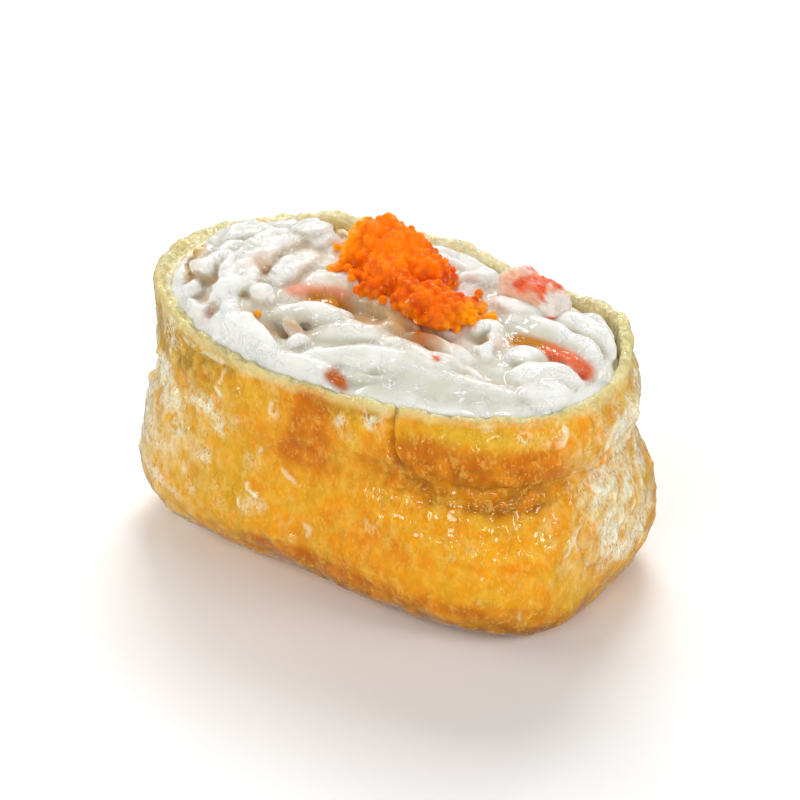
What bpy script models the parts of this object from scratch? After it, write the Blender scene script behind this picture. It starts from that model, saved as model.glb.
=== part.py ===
"""Open-topped inari sushi, lying as served, in metres with +Z up.

A pouch of fried tofu skin stands on its flat base. It is filled with creamy crab salad,
which is heaped over the rim. A spoonful of flying fish roe and one thick chunk of crab
stick lie on the salad. The origin is on the table, under the middle of the pouch, with
+X along the pouch and +Y towards its back wall.
"""

import math

import bpy
import numpy as np

# Driving dimensions of the pouch
LENGTH = 0.0740
WIDTH = 0.0466
RIM_HEIGHT = 0.0368  # top of the rounded rim
SKIN = 0.0020  # thickness of the tofu skin
GAP = 0.0003  # clearance that keeps touching pieces apart

# Driving dimensions of what lies in and on it
SALAD_DOME = 0.0036  # rise of the salad's middle above its edge
SALAD_LEFT_RISE = 0.0022  # further rise of the salad towards the left end
ROE_DEPTH = 0.0072  # thickness of the roe at its highest spoonful
CHUNK_LENGTH = 0.0100
CHUNK_WIDTH = 0.0068
CHUNK_DEPTH = 0.0046

# How finely the solids are faceted
AROUND_POUCH = 64  # and round the salad, so that its facets lie along the skin's
AROUND_ROE = 30
AROUND_CHUNK = 20

# Stations up the outer wall: height, half length, half width, each as a share of the
# driving dimension, and the squareness of the outline there
STATIONS = np.array([
    (0.00, 0.875, 0.60, 3.2),  # edge of the flat base
    (0.29, 1.000, 1.00, 3.7),  # belly
    (0.42, 0.995, 0.985, 3.5),  # top of the belly
    (0.64, 0.950, 0.935, 3.0),  # waist
    (0.82, 0.968, 0.950, 2.6),  # collar
    (1.00, 0.968, 0.930, 2.45),  # rim
])

# Folds of the wall: direction in degrees from +X, height share, reach to each side in
# degrees and in height share, and depth in metres (a negative depth bulges outwards)
FOLDS = (
    (5, 0.70, 50, 0.060, 0.0013),  # crease under the collar, right end
    (-48, 0.68, 28, 0.070, 0.0008),  # the same crease along the front
    (180, 0.74, 40, 0.090, 0.0004),  # crease under the collar, left end
    (8, 0.87, 30, 0.080, -0.0008),  # collar bulging over the right end
    (182, 1.00, 38, 0.140, -0.0015),  # rim flaring at the left end
    (42, 1.00, 16, 0.200, -0.0007),  # rim flaring at the right of the back
    (-102, 0.10, 26, 0.140, 0.0014),  # tuck under the front
    (-20, 0.32, 16, 0.200, 0.0007),  # dent beside the right corner
    (-90, 0.50, 9, 0.260, 0.0006),  # upright dent in the front
)

# Rise and fall of the rim: direction in degrees, reach in degrees, rise in metres
RIM_WAVES = (
    (38, 15, 0.0014),
    (0, 22, -0.0004),
    (-104, 26, -0.0016),
    (68, 12, -0.0006),
    (94, 11, 0.0009),
)

# Thick shreds that show as ridges of the salad: middle x and y, heading in degrees,
# length, width and rise
SHREDS = (
    (0.0235, 0.0020, -14, 0.0210, 0.0048, 0.0019),
    (0.0190, -0.0135, 4, 0.0260, 0.0060, 0.0017),
    (-0.0060, -0.0065, -8, 0.0170, 0.0050, 0.0018),
    (-0.0170, -0.0135, -38, 0.0150, 0.0044, 0.0016),
    (0.0010, -0.0165, -3, 0.0180, 0.0040, 0.0015),
    (0.0215, -0.0055, 24, 0.0110, 0.0044, 0.0014),
    (-0.0255, 0.0030, 62, 0.0140, 0.0046, 0.0020),
    (-0.0170, 0.0080, 16, 0.0150, 0.0044, 0.0022),
    (0.0040, 0.0125, -10, 0.0160, 0.0040, 0.0012),
)

# Spoonfuls of roe: middle x and y, half length, half width, heading in degrees, depth
# as a share of the deepest one
SPOONFULS = (
    (-0.0056, 0.0066, 0.0072, 0.0054, 0, 1.00),
    (-0.0002, 0.0062, 0.0062, 0.0040, -12, 0.66),
    (0.0072, -0.0008, 0.0084, 0.0038, 2, 0.40),
)
ROE_MIDDLE = (0.0, 0.0030)
ROE_EDGE = 0.0012  # thickness of the roe at its edge: a single grain
CHUNK_MIDDLE = (0.0168, 0.0101)
CHUNK_HEADING = -10
CHUNK_TILT = 0.10  # slope of its upper face


def ease(t):
    """Smooth step from 0 to 1."""
    t = np.clip(t, 0.0, 1.0)
    return t * t * (3 - 2 * t)


def hump(distance, reach):
    """1 at no distance, falling smoothly like a bell."""
    return np.exp(-((distance / reach) ** 2))


def angle_between(angle, degrees):
    """Signed difference to a direction given in degrees, from -pi to pi."""
    return (angle - math.radians(degrees) + math.pi) % (2 * math.pi) - math.pi


def outline_at(share):
    """Half length, half width and squareness of the wall's outline at a height share."""
    last = len(STATIONS) - 2
    k = np.clip(np.searchsorted(STATIONS[:, 0], share, side="right") - 1, 0, last)
    low, high = STATIONS[k], STATIONS[k + 1]
    along = (share - low[..., 0]) / (high[..., 0] - low[..., 0])
    rounded = np.sqrt(1 - (1 - np.clip(along, 0, 1)) ** 2)
    weight = np.where(k == 0, rounded, ease(along))[..., None]
    half_length, half_width, squareness = np.moveaxis(
        low[..., 1:] + (high - low)[..., 1:] * weight, -1, 0
    )
    return half_length * LENGTH / 2, half_width * WIDTH / 2, squareness


def folds(angle, share):
    """How far the folds push the wall in, in metres."""
    pushed = np.zeros(np.broadcast(angle, share).shape)
    for degrees, height, side, up, depth in FOLDS:
        bell = hump(angle_between(angle, degrees), math.radians(side))
        pushed += depth * bell * hump(share - height, up)
    ripple = np.sin(9 * angle + 5 * share) + 0.7 * np.sin(14 * angle - 9 * share + 1.3)
    return pushed + 0.00016 * ripple * ease(share / 0.2)


def wall(angle, share):
    """Points of the outer wall, for a direction and a height share from 0 to 1."""
    half_length, half_width, squareness = outline_at(share)
    c, s = np.cos(angle), np.sin(angle)
    radius = (abs(c) ** squareness + abs(s) ** squareness) ** (-1 / squareness)
    x, y = half_length * radius * c, half_width * radius * s
    size = np.hypot(x, y)
    keep = 1 - folds(angle, share) / size
    wave = sum(
        rise * hump(angle_between(angle, degrees), math.radians(side))
        for degrees, side, rise in RIM_WAVES
    )
    z = share * (RIM_HEIGHT - SKIN / 2 + wave * ease((share - 0.5) / 0.5))
    return np.stack([x * keep, y * keep, z], -1)


def wall_normals(angle, share):
    """Outward unit normals of the outer wall, straight down on the base's edge."""
    step = 1e-4
    upper = np.maximum(share, 2 * step)
    along = wall(angle + step, upper) - wall(angle - step, upper)
    up = wall(angle, np.minimum(upper + step, 1)) - wall(angle, upper - step)
    normal = np.cross(along, up)
    normal /= np.linalg.norm(normal, axis=-1, keepdims=True)
    on_base = share <= 0
    normal[on_base] = (0, 0, -1)
    return normal


def inset_wall(angle, share, depth):
    """The wall moved inwards by a depth, square to its surface."""
    return wall(angle, share) - depth * wall_normals(angle, share)


def directions(count):
    """Equally spaced angles round the part."""
    return np.linspace(-math.pi, math.pi, count, endpoint=False)


def full_rows(angle, shares):
    """Angle and share as two grids, one row for each share."""
    return np.meshgrid(angle, shares)[0], np.repeat(np.asarray(shares)[:, None], len(angle), 1)


def salad_height(x, y):
    """Height of the salad's surface above the table at a place in plan."""
    across = np.sqrt((x / (LENGTH / 2)) ** 2 + (y / (WIDTH / 2)) ** 2)
    lean = 0.0014 * ease((y + 0.010) / 0.030)  # it lies lower along the back wall
    height = RIM_HEIGHT - 0.0006 + SALAD_DOME * (1 - across**2) - lean
    height += SALAD_LEFT_RISE * hump(np.hypot(x + 0.021, y - 0.005), 0.011)
    height += 0.0004 * np.sin(x / 0.0024) * np.sin(y / 0.0021 + 0.8)
    for mid_x, mid_y, heading, length, width, rise in SHREDS:
        turn = math.radians(heading)
        along = (x - mid_x) * math.cos(turn) + (y - mid_y) * math.sin(turn)
        aside = (y - mid_y) * math.cos(turn) - (x - mid_x) * math.sin(turn)
        aside = aside - 0.06 * along**2 / length  # each shred bends a little
        round_back = np.sqrt(np.clip(1 - (2 * aside / width) ** 2, 0, 1))
        ends = ease((length / 2 - abs(along)) / 0.0025)
        height = height + rise * round_back * ends
    return height


def salad_edge_share(angle):
    """Height share at which the salad meets the skin: high in front, low behind."""
    behind = ease(0.5 + 0.9 * np.sin(angle))
    left_end = hump(angle_between(angle, 178), math.radians(30))
    return 0.975 - 0.075 * behind - 0.035 * left_end


def closed_mesh(name, rows, first_pole, last_pole):
    """A closed mesh from rings of points, with a pole at each end of the stack."""
    count, around = rows.shape[:2]
    points = np.concatenate([rows.reshape(-1, 3), [first_pole, last_pole]])
    start, end = count * around, count * around + 1
    i = np.arange(around)
    j = (i + 1) % around
    ring = np.arange(count - 1)[:, None] * around
    quads = np.stack([ring + i, ring + j, ring + around + j, ring + around + i], -1)
    caps = [np.stack([np.full(around, start), j, i], -1).tolist()]
    top = (count - 1) * around
    caps.append(np.stack([np.full(around, end), top + i, top + j], -1).tolist())
    mesh = bpy.data.meshes.new(name)
    mesh.from_pydata(points.tolist(), [], quads.reshape(-1, 4).tolist() + caps[0] + caps[1])
    mesh.update()
    return mesh


def finish_piece(name, mesh, colour, roughness, coat=0.0):
    """Puts the mesh in the scene, shaded smooth, with its own material."""
    mesh.shade_smooth()
    mesh.set_sharp_from_angle(angle=math.radians(50))
    material = bpy.data.materials.new(name)
    material.use_nodes = True
    shader = material.node_tree.nodes["Principled BSDF"]
    shader.inputs["Base Color"].default_value = (*colour, 1)
    shader.inputs["Roughness"].default_value = roughness
    shader.inputs["Metallic"].default_value = 0
    shader.inputs["Coat Weight"].default_value = coat
    mesh.materials.append(material)
    piece = bpy.data.objects.new(name, mesh)
    bpy.context.scene.collection.objects.link(piece)
    return piece


ROUNDING = STATIONS[1, 0] * (1 - np.cos(np.linspace(0, math.pi / 2, 6)))
UPRIGHT = np.linspace(STATIONS[1, 0], 1.0, 13)[1:]
INSIDE = np.concatenate([ROUNDING, UPRIGHT[1::2]])


def make_pouch():
    """The tofu skin: outside from the base up, over the rim, and back down inside."""
    angle = directions(AROUND_POUCH)
    grid = full_rows(angle, np.concatenate([ROUNDING, UPRIGHT]))
    outside = wall(*grid)

    top = full_rows(angle, [1.0])
    outer_edge, inner_edge = outside[-1], inset_wall(*top, SKIN)[0]
    middle, half = (outer_edge + inner_edge) / 2, (outer_edge - inner_edge) / 2
    bend = np.linspace(0, math.pi, 5)[1:-1, None, None]
    lip = middle + half * np.cos(bend) + np.array([0, 0, SKIN / 2]) * np.sin(bend)

    inside = inset_wall(*full_rows(angle, INSIDE[::-1]), SKIN)
    base_ring = outside[:1] * (0.5, 0.5, 1)
    floor_ring = inside[-1:] * (0.5, 0.5, 1)
    rows = np.concatenate([base_ring, outside, lip, inside, floor_ring])
    mesh = closed_mesh("tofu_pouch", rows, (0, 0, 0), (0, 0, SKIN))
    return finish_piece("tofu_pouch", mesh, (0.80, 0.42, 0.08), 0.38, 0.3)


def make_salad():
    """The salad, from the pouch's floor up to its heaped surface."""
    angle = directions(AROUND_POUCH)
    edge = salad_edge_share(angle)
    shares = np.concatenate([full_rows(angle, INSIDE[:-2])[1], edge[None]])
    side = inset_wall(np.broadcast_to(angle, shares.shape), shares, SKIN + GAP)

    reach = np.linspace(1, 0, 20)[1:-1, None]
    x, y = reach * side[-1, :, 0], reach * side[-1, :, 1]
    shoulder = ease((1 - reach) / 0.16)
    z = side[-1, :, 2] * (1 - shoulder) + salad_height(x, y) * shoulder
    top = np.stack([x, y, z], -1)
    floor = SKIN + GAP
    peak = (0, 0, float(salad_height(np.float64(0), np.float64(0))))
    mesh = closed_mesh("crab_salad", np.concatenate([side, top]), (0, 0, floor), peak)
    return finish_piece("crab_salad", mesh, (0.86, 0.85, 0.80), 0.22, 0.5)


def lying_piece(name, around, middle, outline, thickness, rings):
    """A piece that lies on the salad: its underside follows the salad's surface.

    outline(angle) is the distance from the middle to the edge, and thickness(x, y) is
    how thick the piece is at a place in plan.
    """
    angle = directions(around)
    edge = outline(angle)
    reach = np.linspace(0, 1, rings + 1)[1:, None]
    x = middle[0] + reach * edge * np.cos(angle)
    y = middle[1] + reach * edge * np.sin(angle)
    under = salad_height(x, y) + GAP
    below = np.stack([x, y, under], -1)
    above = np.stack([x, y, under + thickness(x, y)], -1)[::-1]
    lowest = float(salad_height(*np.float64(middle))) + GAP
    highest = lowest + float(thickness(*np.float64(middle)))
    rows = np.concatenate([below, above])
    return closed_mesh(name, rows, (*middle, lowest), (*middle, highest))


def spoonful_reach(x, y):
    """Depth of the roe at a place, and how far out of each spoonful the place is."""
    depth, outside = np.zeros(np.shape(x)), np.full(np.shape(x), 9.0)
    for mid_x, mid_y, half_length, half_width, heading, share in SPOONFULS:
        turn = math.radians(heading)
        along = (x - mid_x) * math.cos(turn) + (y - mid_y) * math.sin(turn)
        aside = (y - mid_y) * math.cos(turn) - (x - mid_x) * math.sin(turn)
        out = np.hypot(along / half_length, aside / half_width)
        dome = np.clip(1 - np.minimum(out, 1) ** 2.6, 0, 1) ** 0.6
        depth = np.maximum(depth, share * ROE_DEPTH * dome)
        outside = np.minimum(outside, out)
    return depth, outside


def roe_thickness(x, y):
    """A single grain at the edge, and lumpy spoonfuls inside it."""
    depth = spoonful_reach(x, y)[0]
    lumps = 0.0004 * np.sin(x / 0.0009 + 0.5) * np.sin(y / 0.0008)
    return np.maximum(depth, ROE_EDGE) + lumps * ease(depth / 0.002)


def roe_outline(angle):
    """Distance from the roe's middle to the edge of the spoonfuls' union."""
    steps = np.linspace(0.0005, 0.0200, 400)[:, None]
    x = ROE_MIDDLE[0] + steps * np.cos(angle)
    y = ROE_MIDDLE[1] + steps * np.sin(angle)
    inside = spoonful_reach(x, y)[1] < 1
    return np.where(inside, steps, 0).max(0)


def make_roe():
    """The heap of flying fish roe, out to its uneven outline."""
    mesh = lying_piece("fish_roe", AROUND_ROE, ROE_MIDDLE, roe_outline, roe_thickness, 8)
    return finish_piece("fish_roe", mesh, (0.95, 0.20, 0.01), 0.15, 0.8)


def chunk_outline(angle):
    """A rounded oblong turned to the chunk's heading."""
    turned = angle - math.radians(CHUNK_HEADING)
    c, s = abs(np.cos(turned)) / (CHUNK_LENGTH / 2), abs(np.sin(turned)) / (CHUNK_WIDTH / 2)
    return (c**3.4 + s**3.4) ** (-1 / 3.4)


def chunk_thickness(x, y):
    """A block with rounded shoulders, higher towards its back."""
    dx, dy = x - CHUNK_MIDDLE[0], y - CHUNK_MIDDLE[1]
    out = np.hypot(dx, dy) / chunk_outline(np.arctan2(dy, dx))
    rounded = np.sqrt(np.clip(1 - 0.86 * out**3, 0, 1))
    return CHUNK_DEPTH * rounded + CHUNK_TILT * dy * rounded


def make_chunk():
    """The thick chunk of crab stick that lies on the back of the salad."""
    mesh = lying_piece(
        "crab_chunk", AROUND_CHUNK, CHUNK_MIDDLE, chunk_outline, chunk_thickness, 4
    )
    return finish_piece("crab_chunk", mesh, (0.85, 0.25, 0.12), 0.30, 0.4)


def main():
    for obj in list(bpy.data.objects):
        bpy.data.objects.remove(obj)
    make_pouch()
    make_salad()
    make_roe()
    make_chunk()


main()
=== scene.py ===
# %% [markdown]
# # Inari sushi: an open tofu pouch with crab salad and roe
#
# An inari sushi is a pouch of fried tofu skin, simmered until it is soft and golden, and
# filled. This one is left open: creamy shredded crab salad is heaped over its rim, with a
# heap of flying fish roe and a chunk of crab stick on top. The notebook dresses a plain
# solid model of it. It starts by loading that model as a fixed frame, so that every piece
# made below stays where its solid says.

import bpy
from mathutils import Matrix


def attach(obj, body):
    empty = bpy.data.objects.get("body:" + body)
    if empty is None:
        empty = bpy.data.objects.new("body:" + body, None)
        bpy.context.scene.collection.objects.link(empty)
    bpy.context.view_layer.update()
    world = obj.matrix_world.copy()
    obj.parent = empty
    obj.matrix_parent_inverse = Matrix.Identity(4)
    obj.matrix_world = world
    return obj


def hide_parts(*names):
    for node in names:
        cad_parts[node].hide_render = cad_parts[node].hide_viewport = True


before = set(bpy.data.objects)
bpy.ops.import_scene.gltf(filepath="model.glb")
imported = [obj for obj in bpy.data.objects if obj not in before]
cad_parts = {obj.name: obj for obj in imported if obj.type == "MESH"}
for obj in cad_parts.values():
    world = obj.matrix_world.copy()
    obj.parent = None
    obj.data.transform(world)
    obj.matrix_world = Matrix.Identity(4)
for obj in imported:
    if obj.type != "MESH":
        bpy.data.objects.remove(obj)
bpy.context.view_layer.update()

# %% [markdown]
# Whole surfaces are worked out with numpy and handed to Blender in one go. Five small
# helpers say most of what shapes and colours food: a smooth step, a bell, the signed gap
# between two directions, a blend of two values, and a screen colour turned into light.

# %% Small helpers
import math

import bmesh
import bpy
import numpy as np
from mathutils import Vector

MM = 0.001


def ease(t):
    """Smooth step from 0 to 1: t squared times (3 - 2 t)."""
    t = np.clip(t, 0.0, 1.0)
    return t * t * (3 - 2 * t)


def bell(distance, reach):
    """1 at no distance, falling as exp(-(distance / reach) squared)."""
    return np.exp(-((distance / reach) ** 2))


def turn_to(angle, degrees):
    """Signed gap from a direction given in degrees, in degrees, from -180 to 180."""
    return (np.degrees(angle) - degrees + 180) % 360 - 180


def mix(first, second, share):
    """first where share is 0, second where it is 1."""
    share = np.asarray(share)[..., None]
    return np.asarray(first) * (1 - share) + np.asarray(second) * share


def tone(red, green, blue):
    """A colour given as screen values from 0 to 255, as light."""
    screen = np.array([red, green, blue]) / 255
    return np.where(screen <= 0.04045, screen / 12.92, ((screen + 0.055) / 1.055) ** 2.4)


print("golden skin as light:", tone(233, 170, 72).round(3))

# %% [markdown]
# Food has no straight lines and no even colour, so every piece needs noise: numbers that
# wander smoothly from place to place. Blender has noise for one point at a time. Working it
# out in numpy gives it for a whole surface at once, and always the same way.

# %% Noise for whole surfaces


def corner_slope(cell, seed):
    """A repeatable random slope for each corner of a grid of cells."""
    mixed = (cell @ np.array([73856093, 19349663, 83492791]) + seed * 2654435761) & 0xFFFFFFFF
    mixed = ((mixed ^ (mixed >> 15)) * 2246822519) & 0xFFFFFFFF
    mixed = ((mixed ^ (mixed >> 13)) * 3266489917) & 0xFFFFFFFF
    mixed ^= mixed >> 16
    return np.stack([mixed >> shift & 1023 for shift in (0, 10, 20)], -1) / 511.5 - 1


def noise(points, size, seed=0):
    """Gradient noise from about -1 to 1. In each cell of a grid, the slopes of the eight
    corners are followed to the point and blended by a smooth step."""
    scaled = np.asarray(points) / size
    cell = np.floor(scaled).astype(np.int64)
    inside = scaled - cell
    fade = inside**3 * (inside * (inside * 6 - 15) + 10)
    total = np.zeros(scaled.shape[:-1])
    for corner in np.ndindex(2, 2, 2):
        slope = corner_slope(cell + np.array(corner), seed)
        weight = np.prod(np.where(corner, fade, 1 - fade), -1)
        total += weight * np.sum(slope * (inside - corner), -1)
    return 1.4 * total


def ridges(points, size, seed=0, sharpness=4.0):
    """Thin crests, from 0 to 1, along the lines where the noise changes sign."""
    return np.clip(1 - sharpness * abs(noise(points, size, seed)), 0, 1)


def wander(points, size, reach, seed=0):
    """The points, each moved up to about reach by three noises, so that lines wiggle."""
    moved = [noise(points, size, seed + k) for k in (11, 12, 13)]
    return points + reach * np.stack(moved, -1)


sample = noise(np.random.default_rng(1).random((1000, 3)), 0.1)
print("noise runs from", sample.min().round(2), "to", sample.max().round(2))

# %% [markdown]
# Most pieces are stacks of rings, like a pot on a wheel: each row of points goes once
# round, and a single point closes each end. The same helper serves them all, and another
# one turns points and faces into an object with its colours stored at its points.

# %% Meshes from rings of points


def ring_faces(count, around):
    """Four-sided faces between neighbouring rings, and a fan of triangles at each end."""
    i = np.arange(around)
    j = (i + 1) % around
    ring = np.arange(count - 1)[:, None] * around
    sides = np.stack([ring + i, ring + j, ring + around + j, ring + around + i], -1)
    top = (count - 1) * around
    first = np.stack([np.full(around, count * around), j, i], -1)
    last = np.stack([np.full(around, count * around + 1), top + i, top + j], -1)
    return sides.reshape(-1, 4).tolist() + first.tolist() + last.tolist()


def stacked(rows, first_pole, last_pole):
    """All points of a stack of rings, with its two end points last."""
    return np.concatenate([rows.reshape(-1, 3), [first_pole, last_pole]])


def linked(name, data):
    """A new object in the scene that shows a mesh, a lamp or a camera."""
    thing = bpy.data.objects.new(name, data)
    bpy.context.scene.collection.objects.link(thing)
    return thing


def store_colours(mesh, colours):
    """Writes a colour for each point into the attribute that the materials read."""
    colours = np.asarray(colours)
    rgba = np.ones((len(mesh.vertices), 4), np.float32)
    rgba[:, : colours.shape[-1]] = np.clip(colours, 0, 1)
    attribute = mesh.color_attributes.new("tint", "FLOAT_COLOR", "POINT")
    attribute.data.foreach_set("color", rgba.ravel())


def finished(name, mesh, material, colours):
    """An object of the mesh, smooth, with its material and the colours of its points."""
    store_colours(mesh, colours)
    mesh.materials.append(material)
    mesh.shade_smooth()
    print(name, len(mesh.polygons), "faces")
    return linked(name, mesh)


def new_piece(name, points, faces, material, colours):
    """A finished object made of points and faces."""
    mesh = bpy.data.meshes.new(name)
    mesh.from_pydata(np.asarray(points).tolist(), [], faces)
    return finished(name, mesh, material, colours)


print("a tube of 3 rings of 8 points has", len(ring_faces(3, 8)), "faces")

# %% [markdown]
# The skin is one sheet that closes round the bottom and stays open on top. Seen from above
# its outline is a superellipse, a rounded oblong that is fuller than an ellipse: each point
# at an angle lies at (|cos|^n + |sin|^n)^(-1/n) of the half length and half width. The
# oblong changes with height, from the base over the belly to the waist and the collar, and
# folds push it in or out. The oblong is the solid's own, so the skin fits it. The folds and
# the waves of the rim start from the solid's too, and add the smaller ones, which the plain
# solid leaves out.

# %% The pouch's form
LENGTH = 74.0 * MM
WIDTH = 46.6 * MM
RIM_HEIGHT = 36.8 * MM
SKIN = 2.0 * MM

STATIONS = np.array(
    [  # height share, half length share, half width share, squareness
        (0.00, 0.875, 0.60, 3.2),
        (0.29, 1.000, 1.00, 3.7),
        (0.42, 0.995, 0.985, 3.5),
        (0.64, 0.950, 0.935, 3.0),
        (0.82, 0.968, 0.950, 2.6),
        (1.00, 0.968, 0.930, 2.45),
    ]
)
FOLDS = (  # direction, height share, reach round, reach up, depth in mm
    (5, 0.70, 50, 0.060, 1.3),
    (-48, 0.68, 28, 0.070, 1.2),
    (180, 0.74, 40, 0.090, 0.4),
    (8, 0.87, 30, 0.080, -0.8),
    (182, 1.00, 38, 0.140, -1.5),
    (42, 1.00, 16, 0.200, -0.7),
    (-102, 0.10, 26, 0.140, 1.4),
    (-20, 0.32, 16, 0.200, 0.7),
    (-90, 0.50, 9, 0.260, 0.6),
    (-150, 0.57, 24, 0.070, -0.8),
    (-128, 0.15, 18, 0.100, -0.5),
    (-158, 1.00, 24, 0.080, -0.5),
    (29, 0.95, 14, 0.100, 0.9),
    (31, 0.52, 12, 0.080, 0.5),
    (10, 0.08, 14, 0.060, 0.5),
)
RIM_WAVES = (  # direction, reach round, rise in mm
    (38, 15, 1.4), (0, 22, -0.4), (-104, 26, -1.6), (68, 12, -0.6), (94, 11, 0.9),
    (127, 8, 1.3), (153, 9, -0.7), (176, 14, 0.5), (79, 9, -0.5),
)


def outline_at(share):
    """Half length, half width and squareness of the outline at a height share."""
    last = len(STATIONS) - 2
    k = np.clip(np.searchsorted(STATIONS[:, 0], share, side="right") - 1, 0, last)
    low, high = STATIONS[k], STATIONS[k + 1]
    along = (share - low[..., 0]) / (high[..., 0] - low[..., 0])
    rounded = np.sqrt(1 - (1 - np.clip(along, 0, 1)) ** 2)
    weight = np.where(k == 0, rounded, ease(along))[..., None]
    values = low[..., 1:] + (high - low)[..., 1:] * weight
    return values[..., 0] * LENGTH / 2, values[..., 1] * WIDTH / 2, values[..., 2]


def wall(angle, share):
    """A point of the outer wall for a direction and a height share: the superellipse at
    that height, drawn in by the sum of the folds' bells, with its height waved at the rim."""
    half_length, half_width, squareness = outline_at(share)
    c, s = np.cos(angle), np.sin(angle)
    radius = (abs(c) ** squareness + abs(s) ** squareness) ** (-1 / squareness)
    x, y = half_length * radius * c, half_width * radius * s
    pushed = sum(
        depth * MM * bell(turn_to(angle, degrees), side) * bell(share - height, up)
        for degrees, height, side, up, depth in FOLDS
    )
    keep = 1 - pushed / np.hypot(x, y)
    wave = sum(
        rise * MM * bell(turn_to(angle, degrees), side) for degrees, side, rise in RIM_WAVES
    )
    z = share * (RIM_HEIGHT - SKIN / 2 + wave * ease((share - 0.5) / 0.5))
    return np.stack([x * keep, y * keep, z], -1)


def wall_normals(angle, share):
    """Outward normals: the cross product of the wall's two slopes, taken by small steps."""
    step = 1e-4
    upper = np.maximum(share, 2 * step)
    along = wall(angle + step, upper) - wall(angle - step, upper)
    up = wall(angle, np.minimum(upper + step, 1)) - wall(angle, upper - step)
    normal = np.cross(along, up)
    normal /= np.linalg.norm(normal, axis=-1, keepdims=True)
    normal[share <= 0] = (0, 0, -1)
    return normal


def skin_depth(angle, share):
    """Thickness of the skin: thinner towards the cut edge in front, thicker at the left end,
    where it is rolled."""
    near_rim = ease((share - 0.84) / 0.16)
    front = bell(turn_to(angle, -62), 56)
    left = bell(turn_to(angle, 180), 28)
    return SKIN * (1 - near_rim * (0.50 * front - 1.9 * left))


def rim_tears(angle):
    """How far the cut edge rises and falls at a direction: noise along it."""
    edge = wall(angle, np.ones_like(angle)) * (1, 1, 0)
    waves = 0.34 * noise(edge, 3.6 * MM, 53) + 0.26 * noise(edge, 1.5 * MM, 54)
    return waves * MM


print("front of the belly:", (wall(np.array(-math.pi / 2), np.array(0.42)) / MM).round(1), "mm")

# %% [markdown]
# The fine form is relief on that wall. Simmered tofu skin is a thin wet film over a sponge:
# it lies in soft dents and is crossed by wrinkles. In front, one edge of the skin overlaps
# the other in a short slit. Under the collar the skin folds over itself, and the few large
# wrinkles, the veins, run where they were placed one by one.

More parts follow.
